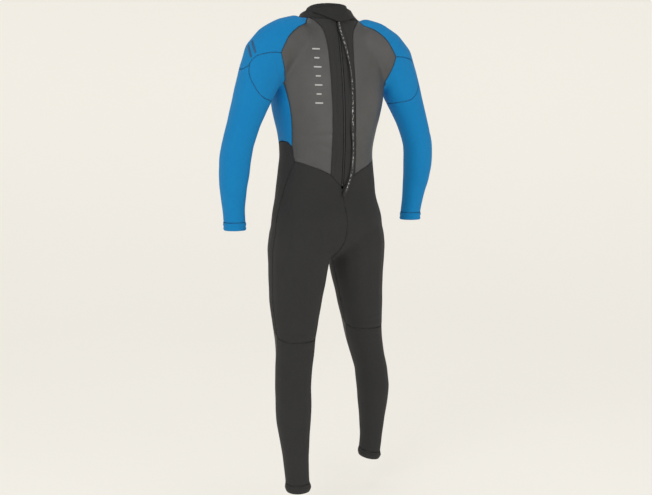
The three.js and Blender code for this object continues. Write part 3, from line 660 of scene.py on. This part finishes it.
# Each panel's own solid says which part of the skin is its own.
SLOT, LEFT_THIGH, RIGHT_THIGH = len(PANELS), len(PANELS) + 1, len(PANELS) + 2
FRONT = PANELS.index("front_body_panel")
PIECES = [*PANELS, "zip_slot", "left_thigh_front", "right_thigh_front"]
panel_trees, all_points, all_faces, owner = [], [], [], []
for index, name in enumerate(PANELS):
    mesh = frame["nodes"][name].data
    points = [v.co.copy() for v in mesh.vertices]
    faces = [tuple(p.vertices) for p in mesh.polygons]
    panel_trees.append(BVHTree.FromPolygons(points, faces))
    start = len(all_points)
    all_points += points
    all_faces += [tuple(i + start for i in face) for face in faces]
    owner += [index] * len(faces)
whole_suit = BVHTree.FromPolygons(all_points, all_faces)
panel_trees += [None, panel_trees[FRONT], panel_trees[FRONT]]


def panel_of(point):
    """Which piece a point of the skin belongs to."""
    if abs(point.x) < ZIP_SLOT and point.y > BACK_SIDE and point.z > ZIP_SLOT_BOTTOM:
        return SLOT
    index = owner[whole_suit.find_nearest(point)[2]]
    if index == FRONT and point.z < THIGH_SPLIT:
        return LEFT_THIGH if point.x > 0 else RIGHT_THIGH
    return index


def beyond(point, a, b):
    """Below zero on piece a's side of the seam between a and b, and above it on b's."""
    if SLOT in (a, b):
        value = abs(point.x) - ZIP_SLOT
        if value < 0:
            value = ZIP_SLOT_BOTTOM - point.z
        return value if a == SLOT else -value
    if panel_trees[a] is panel_trees[b]:
        return THIGH_SPLIT - point.z if a == FRONT else point.z - THIGH_SPLIT
    return panel_trees[a].find_nearest(point)[3] - panel_trees[b].find_nearest(point)[3]


def mixed_faces(shape, labels):
    """The faces whose corners belong to more than one piece."""
    return [f for f in shape.faces if len({labels[v.index] for v in f.verts}) > 1]


body.verts.index_update()
labels = [panel_of(v.co) for v in body.verts]
fine = dict.fromkeys(g for f in mixed_faces(body, labels) for v in f.verts for g in v.link_faces)
fine_edges = list(dict.fromkeys(e for f in fine for e in f.edges))
bmesh.ops.subdivide_edges(body, edges=fine_edges, cuts=1, use_grid_fill=True)
bmesh.ops.triangulate(body, faces=[f for f in body.faces if len(f.verts) > 4])
body.normal_update()
body.verts.index_update()
points = [v.co.copy() for v in body.verts]
outward = [v.normal.copy() for v in body.verts]
labels = [panel_of(p) for p in points]
faces = [tuple(v.index for v in f.verts) for f in body.faces]
body.free()

EARLIEST_CUT = 0.10
panel_faces = [[] for _ in PIECES]
seam_bits = []
cuts = {}


def cut(u, v):
    """The point where a seam crosses the edge from u to v."""
    key = (min(u, v), max(u, v))
    if key not in cuts:
        u, v = key
        start = beyond(points[u], labels[u], labels[v])
        end = beyond(points[v], labels[u], labels[v])
        share = start / (start - end) if abs(start - end) > 1e-9 else 0.5
        share = min(1 - EARLIEST_CUT, max(EARLIEST_CUT, share))
        cuts[key] = len(points)
        points.append(points[u].lerp(points[v], share))
        outward.append((outward[u] + outward[v]).normalized())
    return cuts[key]


def part_triangle(a, b, c):
    """Shares one triangle between the pieces that its corners belong to."""
    la, lb, lc = labels[a], labels[b], labels[c]
    if la == lb == lc:
        panel_faces[la].append((a, b, c))
    elif la != lb and lb != lc and lc != la:
        ab, bc, ca = cut(a, b), cut(b, c), cut(c, a)
        middle = len(points)
        points.append((points[ab] + points[bc] + points[ca]) / 3)
        outward.append(outward[ab])
        for corner, before, after in ((a, ca, ab), (b, ab, bc), (c, bc, ca)):
            panel_faces[labels[corner]].append((before, corner, after, middle))
        for edge, one, two in ((ab, la, lb), (bc, lb, lc), (ca, lc, la)):
            seam_bits.append((edge, middle, min(one, two), max(one, two)))
    else:
        while labels[b] != labels[c]:
            a, b, c = b, c, a
        ab, ca = cut(a, b), cut(c, a)
        panel_faces[labels[a]].append((a, ab, ca))
        panel_faces[labels[b]].append((ab, b, c, ca))
        seam_bits.append((ab, ca, min(labels[a], labels[b]), max(labels[a], labels[b])))


for face in faces:
    if len({labels[i] for i in face}) == 1:
        panel_faces[labels[face[0]]].append(face)
    elif len(face) == 3:
        part_triangle(*face)
    else:
        a, b, c, d = face
        if labels[a] == labels[c]:
            part_triangle(a, b, c)
            part_triangle(a, c, d)
        else:
            part_triangle(b, c, d)
            part_triangle(b, d, a)

# The seam lines are evened out, and the panels' edges sink a little where they are drawn together.
SEAM_DIP = 0.0007
SEAM_DIP_WIDTH = 0.0026
SEAM_ROUNDS = 6
beside = {}
for u, v, _, _ in seam_bits:
    beside.setdefault(u, []).append(v)
    beside.setdefault(v, []).append(u)
for _ in range(SEAM_ROUNDS):
    moved = {}
    for u, others in beside.items():
        if len(others) == 2:
            moved[u] = points[u] * 0.5 + (points[others[0]] + points[others[1]]) * 0.25
    for u, point in moved.items():
        points[u] = point
seam_levels = [p.copy() for p in points]
sewn = [bit for bit in seam_bits if bit[2] != SLOT and bit[3] != SLOT]
sewn = [bit for bit in sewn if panel_trees[bit[2]] is not panel_trees[bit[3]]]
sewn_points = sorted({i for bit in sewn for i in bit[:2]})
seam_tree = KDTree(len(sewn_points))
for i in sewn_points:
    seam_tree.insert(points[i], i)
seam_tree.balance()
for i, point in enumerate(points):
    gap = seam_tree.find(point)[2]
    if gap < 3 * SEAM_DIP_WIDTH:
        points[i] = point - outward[i] * SEAM_DIP * math.exp(-((gap / SEAM_DIP_WIDTH) ** 2))
bpy.data.objects.remove(skin)


def jersey_finish(name, low, high, wear):
    """Knitted nylon jersey on foam: fine ribs of loops, a soft sheen and faint rubbed patches."""
    finish = Finish(name, 0.78)
    loops = finish.mixed(finish.cells(950, (1, 1, 0.75)), finish.noise(1700, 1), 0.35)
    cloth = finish.ramp(loops, [(0.15, low), (0.62, high)])
    patches = finish.ramp(finish.noise(9, 4), [(0.45, (0, 0, 0)), (0.85, (0.22, 0.22, 0.22))])
    finish.colour(finish.mixed(cloth, wear, patches))
    finish.rough(loops, 0.86, 0.70)
    finish.relief(loops, 0.00035, 0.8)
    finish.relief(finish.noise(160, 3), 0.0003, 0.5)
    finish.shine(0.22)
    finish.sheen(0.03, 0.5)
    return finish.material


def smooth_skin_finish():
    """Mesh-embossed rubber skin, closed and slightly glossy, with a fine even dimple."""
    finish = Finish("smooth_skin", 0.46)
    dimples = finish.cells(620)
    bloom = finish.noise(7, 4)
    base = finish.ramp(bloom, [(0.3, (0.054, 0.054, 0.055)), (0.75, (0.077, 0.077, 0.078))])
    # Painted shade: the colour is darkened in the hollows of the dimples.
    shade = finish.ramp(dimples, [(0.0, (0.72, 0.72, 0.72)), (0.5, (1, 1, 1))])
    finish.colour(finish.mixed(base, shade, 1.0, "MULTIPLY"))
    finish.rough(finish.noise(45, 3), 0.40, 0.54)
    finish.relief(dimples, 0.00035, 0.7)
    finish.relief(finish.noise(90, 2), 0.0003, 0.4)
    return finish.material


def knee_finish():
    """Hard-wearing printed rubber on jersey, in small raised six-sided spots."""
    finish = Finish("knee_rubber", 0.6)
    spots = finish.cells(230)
    finish.colour(finish.ramp(spots, [(0.35, (0.032, 0.032, 0.033)), (0.6, (0.018, 0.018, 0.019))]))
    finish.relief(spots, 0.0006, 0.9)
    finish.rough(finish.noise(60, 2), 0.5, 0.68)
    return finish.material


def lining_finish():
    """Grey knitted lining inside the suit."""
    finish = Finish("lining", 0.9)
    loops = finish.cells(800)
    finish.colour(finish.ramp(loops, [(0.1, (0.012, 0.012, 0.013)), (0.6, (0.035, 0.035, 0.037))]))
    finish.relief(loops, 0.0004)
    finish.sheen(0.2)
    return finish.material


def foam_finish():
    """The cut edge of the foam, matt black with fine cells."""
    finish = Finish("foam_edge", 0.9)
    cells = finish.noise(2400, 2)
    finish.colour(finish.ramp(cells, [(0.35, (0.006, 0.006, 0.006)), (0.7, (0.020, 0.020, 0.020))]))
    finish.relief(cells, 0.0003)
    return finish.material


# Each jersey's colours: between its loops, on its loops, and where it is rubbed.
JERSEYS = {
    "blue": [(0.0008, 0.135, 0.36), (0.0012, 0.215, 0.52), (0.010, 0.25, 0.56)],
    "black": [(0.016, 0.016, 0.0165), (0.029, 0.029, 0.0295), (0.040, 0.040, 0.041)],
    "collar": [(0.012, 0.012, 0.0125), (0.023, 0.023, 0.0235), (0.032, 0.032, 0.032)],
    "stretch": [(0.018, 0.018, 0.0185), (0.033, 0.033, 0.034), (0.044, 0.044, 0.045)],
}
BLUE, BLACK, COLLAR, STRETCH = [jersey_finish(f"{name}_jersey", *JERSEYS[name]) for name in JERSEYS]
SKIN, KNEE, LINING, FOAM = smooth_skin_finish(), knee_finish(), lining_finish(), foam_finish()
LOOKS = {
    "back_panel": (SKIN, "smooth_skin"),
    "chest_panel": (SKIN, "smooth_skin"),
    "zip_panel": (STRETCH, "black_jersey"),
    "shoulder_panel": (BLUE, "blue_jersey"),
    "underarm_panel": (BLUE, "blue_jersey"),
    "sleeve": (BLUE, "blue_jersey"),
    "cuff_band": (BLUE, "cuff_jersey"),
    "knee_pad": (KNEE, "knee_rubber"),
    "collar": (COLLAR, "collar_jersey"),
}
THICKNESS = 0.003


def kind_of(name):
    """The piece's name without its side."""
    return name.split("_", 1)[1] if name.startswith(SIDES) else name


def bend_at_knee(piece):
    """Bakes the piece's placement into its mesh, and leaves it on no body."""
    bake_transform(piece)


LEG_PIECES = ("seat_panel", "knee_pad", "lower_leg_panel", "thigh_front")
for index, name in enumerate(PIECES):
    if index == SLOT:
        continue
    used = sorted({i for face in panel_faces[index] for i in face})
    place_of = {old: new for new, old in enumerate(used)}
    panel_points = [points[i] for i in used]
    net = [tuple(place_of[i] for i in face) for face in panel_faces[index]]
    kind = kind_of(name)
    material, slot = LOOKS.get(kind, (BLACK, "black_jersey"))
    piece = new_piece(f"{name}_cloth", panel_points, net, [material, LINING, FOAM])
    if name in PANELS:
        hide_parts(name)
    side = name.split("_")[0]
    if kind in LEG_PIECES:
        bend_at_knee(piece)
    elif kind == "ankle_band":
        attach(piece, f"{side}_shank")
    else:
        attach(piece, "suit")
    wall = piece.modifiers.new("wall", "SOLIDIFY")
    wall.thickness = THICKNESS
    wall.offset = -1
    wall.material_offset = 1
    wall.material_offset_rim = 2


# ---------------------------------------------------------------- flatlock stitching
# Every seam is blind-stitched: a zigzag of nylon thread that lies across the joined edges.
# It is blue between two blue pieces and black elsewhere, and each leg's stitching below the thigh is a
# piece of its own.
STITCH_STEP = 0.0012
STITCH_HALF_WIDTH = 0.0017
THREAD_RADIUS = 0.00030
THREAD_SINK = 0.00025
SHORTEST_SEAM = 4
BLUE_PIECES = {PIECES.index(n) for n in PIECES if LOOKS.get(kind_of(n), (None,))[0] is BLUE}


def thread_finish(name, dark, light):
    """Twisted nylon thread."""
    finish = Finish(name, 0.6)
    finish.colour(finish.ramp(finish.noise(1500, 2), [(0.3, dark), (0.7, light)]))
    finish.relief(finish.noise(3000, 1), 0.0002)
    finish.sheen(0.1)
    return finish.material


def seam_lines(bits):
    """The seams' points, joined up into long lines."""
    lines = []
    for pair in sorted({bit[2:] for bit in bits}):
        ways = {}
        for u, v, a, b in bits:
            if (a, b) == pair:
                ways.setdefault(u, set()).add(v)
                ways.setdefault(v, set()).add(u)
        ends = sorted(u for u in ways if len(ways[u]) == 1)
        for start in ends + sorted(ways):
            if not ways.get(start):
                continue
            line = [start]
            while ways[line[-1]]:
                after = min(ways[line[-1]])
                ways[line[-1]].discard(after)
                ways[after].discard(line[-1])
                line.append(after)
            lines.append((pair, line))
    return lines


def evenly(line_points, line_normals, step):
    """The line's points and normals at even steps along it."""
    co = np.array([tuple(p) for p in line_points])
    no = np.array([tuple(p) for p in line_normals])
    run = np.concatenate([[0], np.cumsum(np.linalg.norm(np.diff(co, axis=0), axis=1))])
    at = np.linspace(0, run[-1], max(3, int(run[-1] / step)))
    co = np.stack([np.interp(at, run, co[:, k]) for k in range(3)], 1)
    no = np.stack([np.interp(at, run, no[:, k]) for k in range(3)], 1)
    return co, no / np.linalg.norm(no, axis=1)[:, None]


def zigzag_thread(co, no, half_width, radius):
    """A four-sided thread that goes from side to side along a line."""
    run = np.gradient(co, axis=0)
    run /= np.linalg.norm(run, axis=1)[:, None]
    aside = np.cross(no, run)
    swing = np.where(np.arange(len(co)) % 2 == 0, 1.0, -1.0)[:, None]
    middle = co + aside * swing * half_width
    rings = np.stack([middle + way * radius for way in (run, no, -run, -no)], 1)
    quads = []
    for i in range(len(co) - 1):
        for k in range(4):
            a, b = 4 * i + k, 4 * i + (k + 1) % 4
            quads.append((a, b, b + 4, a + 4))
    return rings.reshape(-1, 3), quads


THREADS = [
    thread_finish("black_thread", (0.008, 0.008, 0.009), (0.022, 0.022, 0.023)),
    thread_finish("blue_thread", (0.0008, 0.135, 0.35), (0.0010, 0.19, 0.46)),
]
stitch_groups = {"suit": [], "left": [], "right": []}
for pair, line in seam_lines(sewn):
    colour = 1 if set(pair) <= BLUE_PIECES else 0
    run, where = [], None
    for i in line:
        low = seam_levels[i].z < THIGH_SPLIT
        now = ("left" if seam_levels[i].x > 0 else "right") if low else "suit"
        if where is not None and now != where and len(run) > 2:
            stitch_groups[where].append((colour, run))
            run = run[-1:]
        where = now
        run.append(i)
    if len(run) > SHORTEST_SEAM:
        stitch_groups[where].append((colour, run))
for group, runs in stitch_groups.items():
    threads, thread_faces, thread_colours = [], [], []
    for colour, run in runs:
        co, no = evenly([seam_levels[i] for i in run], [outward[i] for i in run], STITCH_STEP)
        rings, quads = zigzag_thread(co - no * THREAD_SINK, no, STITCH_HALF_WIDTH, THREAD_RADIUS)
        start = len(threads)
        threads += rings.tolist()
        thread_faces += [tuple(i + start for i in quad) for quad in quads]
        thread_colours += [colour] * len(quads)
    stitching = new_piece(f"{group}_stitching", threads, thread_faces, THREADS, thread_colours)
    if group == "suit":
        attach(stitching, "suit")
    else:
        bend_at_knee(stitching)


# ---------------------------------------------------------------- collar, neck seal and flap
# A thin smooth-skin seal stands inside the collar, and a flap of the collar's own cloth
# closes over the slider and holds with a hook and loop patch.
def seal_finish():
    """Thin matt skin neoprene that seals on the neck."""
    finish = Finish("seal_skin", 0.62)
    bloom = finish.noise(30, 4)
    finish.colour(finish.ramp(bloom, [(0.3, (0.013, 0.013, 0.0135)), (0.7, (0.022, 0.022, 0.0225))]))
    finish.rough(finish.noise(80, 3), 0.58, 0.70)
    finish.relief(finish.cells(900), 0.0003, 0.6)
    finish.relief(finish.noise(120, 2), 0.0003, 0.4)
    finish.shine(0.25)
    return finish.material


def hook_finish():
    """Hook and loop tape: a dense nap of small stiff hairs."""
    finish = Finish("hook_tape", 0.85)
    nap = finish.mixed(finish.cells(900), finish.noise(1800, 2), 0.5)
    finish.colour(finish.ramp(nap, [(0.2, (0.006, 0.006, 0.007)), (0.7, (0.035, 0.035, 0.037))]))
    finish.relief(nap, 0.0008)
    return finish.material


# Each patch is remade on a net this fine, and smoothed this many rounds.
PATCH_NET = 0.0004
PATCH_ROUNDS = 3
soft_part(
    "neck_seal_skin",
    "neck_seal",
    voxel=0.0012,
    rounds=16,
    material=seal_finish(),
    body="suit",
    grow=0.0003,
)
soft_part(
    "collar_flap_cloth",
    "collar_flap",
    voxel=0.0007,
    rounds=8,
    material=COLLAR,
    body="flap",
    grow=0.0002,
)
HOOKS = hook_finish()
soft_part("hook_patch_nap", "hook_patch", PATCH_NET, PATCH_ROUNDS, HOOKS, "suit")
soft_part("loop_patch_nap", "loop_patch", PATCH_NET, PATCH_ROUNDS, HOOKS, "flap")


# ---------------------------------------------------------------- zip
# A coarse moulded zip runs up the back on two woven tapes, with a flap of neoprene behind it.
# Its teeth take turns across the middle, and a metal slider with a pull tab closes them.
TOOTH_PITCH = 0.0034
TOOTH_LENGTH = 0.0022
TOOTH_DEPTH = 0.0030
TOOTH_OUTER = 0.0029
TOOTH_OVER = 0.0008
ZIP_TEETH_BOTTOM = -0.4795
ZIP_TEETH_TOP = 0.0315
TAPE_NET = 0.0009
TAPE_ROUNDS = 2
EDGE_ROUND = 0.00025


def teeth_finish():
    """Moulded black acetal, worn a little paler on the crests."""
    finish = Finish("zip_teeth", 0.34)
    wear = finish.noise(300, 3)
    finish.colour(finish.ramp(wear, [(0.3, (0.010, 0.010, 0.011)), (0.8, (0.028, 0.028, 0.030))]))
    finish.relief(finish.noise(1500, 2), 0.0001, 0.5)
    return finish.material


def metal_finish():
    """Dark nickel plating with fine scratches."""
    finish = Finish("slider_metal", 0.3, 1.0)
    scratches = finish.noise(260, 4, (1, 1, 0.15))
    finish.colour(finish.ramp(scratches, [(0.3, (0.20, 0.20, 0.21)), (0.75, (0.42, 0.42, 0.43))]))
    finish.rough(scratches, 0.24, 0.46)
    finish.relief(scratches, 0.0001, 0.3)
    return finish.material


# A tooth's outline in half heights and half depths, and its rings from tape to tip with their sizes.
TOOTH_OUTLINE = [(-1, -0.72), (-0.72, -1), (0.72, -1), (1, -0.72)]
TOOTH_OUTLINE += [(-a, -b) for a, b in TOOTH_OUTLINE]
TOOTH_RINGS = [(TOOTH_OUTER, 0.9), (TOOTH_OUTER * 0.4, 1.0)]
TOOTH_RINGS += [(-TOOTH_OVER * 0.5, 0.92), (-TOOTH_OVER, 0.6)]


def tooth(out_points, out_faces, z, side):
    """One tooth: a rounded block from the tape to just past the middle."""
    back = zip_back(z)
    out = Vector((0, back - ZIP_ARC_CENTRE_Y, z - ZIP_ARC_CENTRE_Z)).normalized()
    up = Vector((1, 0, 0)).cross(out)
    start = len(out_points)
    for x, size in TOOTH_RINGS:
        for a, b in TOOTH_OUTLINE:
            point = Vector((x * side, back, z)) - out * TOOTH_DEPTH * 0.5
            point += up * a * TOOTH_LENGTH * 0.5 * size + out * b * TOOTH_DEPTH * 0.5 * size
            out_points.append(point)
    sides = len(TOOTH_OUTLINE)
    last = start + (len(TOOTH_RINGS) - 1) * sides
    for ring in range(start, last, sides):
        for k in range(sides):
            a, b = ring + k, ring + (k + 1) % sides
            face = (a, b, b + sides, a + sides)
            out_faces.append(face if side < 0 else face[::-1])
    cap = tuple(range(start, start + sides))
    tip = tuple(range(last, last + sides))
    out_faces.append(cap[::-1] if side < 0 else cap)
    out_faces.append(tip if side < 0 else tip[::-1])


TEETH = teeth_finish()
for side, sign in (("left", 1), ("right", -1)):
    teeth, tooth_faces = [], []
    z = ZIP_TEETH_BOTTOM + (0 if side == "left" else TOOTH_PITCH / 2)
    while z < ZIP_TEETH_TOP:
        tooth(teeth, tooth_faces, z, sign)
        z += TOOTH_PITCH
    chain = new_piece(f"{side}_zip_teeth", teeth, tooth_faces, [TEETH])
    chain.data.polygons.foreach_set("use_smooth", [False] * len(chain.data.polygons))
    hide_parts(f"{side}_zip_chain")
    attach(chain, "suit")
    tape_name = f"{side}_zip_tape"
    soft_part(f"{tape_name}_cloth", tape_name, TAPE_NET, TAPE_ROUNDS, black_tape, "suit")
soft_part(
    "zip_backing_flap_cloth",
    "zip_backing_flap",
    voxel=0.0015,
    rounds=3,
    material=STRETCH,
    body="suit",
)

METAL = metal_finish()
RIGID_PARTS = {"left_top_stop": TEETH, "right_top_stop": TEETH, "bottom_stop": TEETH}
RIGID_PARTS.update({"zip_slider": METAL, "zip_pull_tab": METAL})
for node, material in RIGID_PARTS.items():
    part = frame["nodes"][node]
    part.data.materials.clear()
    part.data.materials.append(material)
    edges = part.modifiers.new("edges", "BEVEL")
    edges.width = EDGE_ROUND
    edges.segments = 2
    edges.limit_method = "ANGLE"


# ---------------------------------------------------------------- printed marks
# Plain bars are printed on the suit: a column of pale grey ones beside the zip, of two lengths,
# and two dark blue ones on the left upper arm.
INK_RISE = 0.00035
BAR_STEPS = 10
BAR_ROWS = 5
BAR_END = 0.2
PRINT_REACH = 0.05
BACK_BARS = 7
BACK_BAR_LOWEST = Vector((0.084, 0.10, -0.238))
BACK_BAR_STEP = Vector((0, 0, 0.0265))
BACK_BAR_HALF_LENGTHS = (0.0125, 0.0085)
BACK_BAR_HALF_WIDTH = 0.0022
ARM_BARS = 2
ARM_BAR_FIRST = Vector((0.276, 0.055, -0.078))
ARM_BAR_STEP = Vector((0.014, 0, -0.012))
ARM_BAR_ALONG = Vector((0.35, 0, 1))
ARM_BAR_HALF_LENGTH = 0.020
ARM_BAR_HALF_WIDTH = 0.0032
ONTO_BACK = Vector((0, -1, 0))
ONTO_ARM = Vector((-0.5, -0.86, 0))


def ink_finish(name, dark, light):
    """Matt screen-printed ink, slightly broken by the surface under it."""
    finish = Finish(name, 0.55)
    finish.colour(finish.ramp(finish.cells(620), [(0.0, dark), (0.45, light)]))
    finish.relief(finish.cells(620), 0.0002, 0.6)
    return finish.material


print_points, print_faces = [], []
for name in ("left_back_panel_cloth", "left_shoulder_panel_cloth"):
    cloth = bpy.data.objects[name].data
    start = len(print_points)
    print_points += [v.co.copy() for v in cloth.vertices]
    print_faces += [tuple(i + start for i in p.vertices) for p in cloth.polygons]
printed_on = BVHTree.FromPolygons(print_points, print_faces)


def printed_bar(name, centre, along, half_length, half_width, toward, material):
    """A round-ended bar of ink laid on the cloth, found by looking along toward."""
    along = (along - toward * along.dot(toward)).normalized()
    across = toward.cross(along)
    straight = half_length - half_width
    inked = []
    for i in range(2 * BAR_STEPS + 1):
        s = -1 + i / BAR_STEPS
        past = max(0.0, abs(s) * half_length - straight)
        reach = math.sqrt(max((BAR_END * half_width) ** 2, half_width**2 - past**2))
        for k in range(BAR_ROWS):
            point = centre + along * s * half_length + across * reach * (2 * k / (BAR_ROWS - 1) - 1)
            hit = printed_on.ray_cast(point - toward * PRINT_REACH, toward)[0]
            if hit is None:
                hit = printed_on.find_nearest(point)[0]
            inked.append(hit - toward * INK_RISE)
    net = []
    for i in range(2 * BAR_STEPS):
        for k in range(BAR_ROWS - 1):
            a = BAR_ROWS * i + k
            net.append((a, a + 1, a + BAR_ROWS + 1, a + BAR_ROWS))
    bar = new_piece(name, inked, net, [material])
    ink = bar.modifiers.new("ink", "SOLIDIFY")
    ink.thickness = INK_RISE
    ink.offset = 0
    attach(bar, "suit")


GREY_INK = ink_finish("grey_ink", (0.30, 0.30, 0.30), (0.46, 0.46, 0.46))
DARK_INK = ink_finish("dark_ink", (0.004, 0.05, 0.12), (0.006, 0.075, 0.19))
for i in range(BACK_BARS):
    middle = BACK_BAR_LOWEST + BACK_BAR_STEP * i
    size = (BACK_BAR_HALF_LENGTHS[i % 2], BACK_BAR_HALF_WIDTH)
    printed_bar(f"back_bar_{i + 1}", middle, Vector((1, 0, 0)), *size, ONTO_BACK, GREY_INK)
for i in range(ARM_BARS):
    middle = ARM_BAR_FIRST + ARM_BAR_STEP * i
    size = (ARM_BAR_HALF_LENGTH, ARM_BAR_HALF_WIDTH)
    printed_bar(f"arm_bar_{i + 1}", middle, ARM_BAR_ALONG, *size, ONTO_ARM, DARK_INK)


# ---------------------------------------------------------------- floor and light
# A plain pale bowl stands under and around the suit, and glows a little.
# Three wide lamps light the suit softly from the front and above.
FLOOR_LEVEL = -1.5
SWEEP = [(0.02, 0.0), (1.5, 0.0), (3.4, 0.0), (4.1, 0.10), (4.6, 0.42), (4.9, 1.0), (5.0, 2.0), (5.0, 4.6)]
SWEEP_STEPS = 6
SWEEP_SIDES = 72
PALE = (0.872, 0.848, 0.792)
PAINT = (0.38, 0.369, 0.345)
GLOW = 0.672
LIT_POINT = Vector((0, 0, -0.6))


def sweep_finish():
    """Matt painted backdrop in warm white, which glows a little, as a lit backdrop does."""
    finish = Finish("backdrop", 0.95)
    mottle = finish.noise(0.7, 2)
    finish.colour(finish.ramp(mottle, [(0.2, PAINT), (0.8, tuple(c * 1.02 for c in PAINT))]))
    glow = finish.ramp(mottle, [(0.2, PALE), (0.8, tuple(c * 1.01 for c in PALE))])
    finish.link(glow, finish.shader.inputs["Emission Color"])
    finish.shader.inputs["Emission Strength"].default_value = GLOW
    finish.shine(0.0)
    return finish.material


away = -toward_eye
aside = Vector((away.y, -away.x, 0))
sweep_line = smooth_path([Vector((r, 0, h + FLOOR_LEVEL)) for r, h in SWEEP], SWEEP_STEPS)
sweep_points = []
for point in sweep_line:
    for k in range(SWEEP_SIDES):
        turn = math.tau * k / SWEEP_SIDES
        sweep_points.append(Vector((point.x * math.cos(turn), point.x * math.sin(turn), point.z)))
sweep_faces = [tuple(range(SWEEP_SIDES))]
for i in range(len(sweep_line) - 1):
    for k in range(SWEEP_SIDES):
        a, b = i * SWEEP_SIDES + k, i * SWEEP_SIDES + (k + 1) % SWEEP_SIDES
        sweep_faces.append((a, a + SWEEP_SIDES, b + SWEEP_SIDES, b))
backdrop = new_piece("backdrop", sweep_points, sweep_faces, [sweep_finish()])


def soft_light(name, place, size, power, colour):
    """A round lamp that looks at the middle of the suit and can't be seen itself."""
    lamp = bpy.data.objects.new(name, bpy.data.lights.new(name, "AREA"))
    bpy.context.scene.collection.objects.link(lamp)
    lamp.data.shape = "DISK"
    lamp.data.size = size
    lamp.data.energy = power
    lamp.data.color = colour
    lamp.visible_camera = False
    lamp.location = place
    lamp.rotation_mode = "QUATERNION"
    lamp.rotation_quaternion = (LIT_POINT - place).to_track_quat("-Z", "Y")


# Each lamp: its place, how wide it is in metres, its power in watts and its tint.
soft_light("key", toward_eye * 2.6 - aside * 1.6 + UP * 1.4, 2.2, 34, (1, 0.99, 0.97))
soft_light("fill", toward_eye * 2.4 + aside * 2.2 + UP * 0.2, 2.4, 18, (0.98, 0.99, 1))
soft_light("top", UP * 2.2 - toward_eye * 0.3, 2.0, 15, (1, 1, 1))
world = bpy.data.worlds.new("room")
bpy.context.scene.world = world
world.use_nodes = True
room_light = world.node_tree.nodes["Background"].inputs
room_light["Color"].default_value = (0.95, 0.95, 0.95, 1)
room_light["Strength"].default_value = 0.25
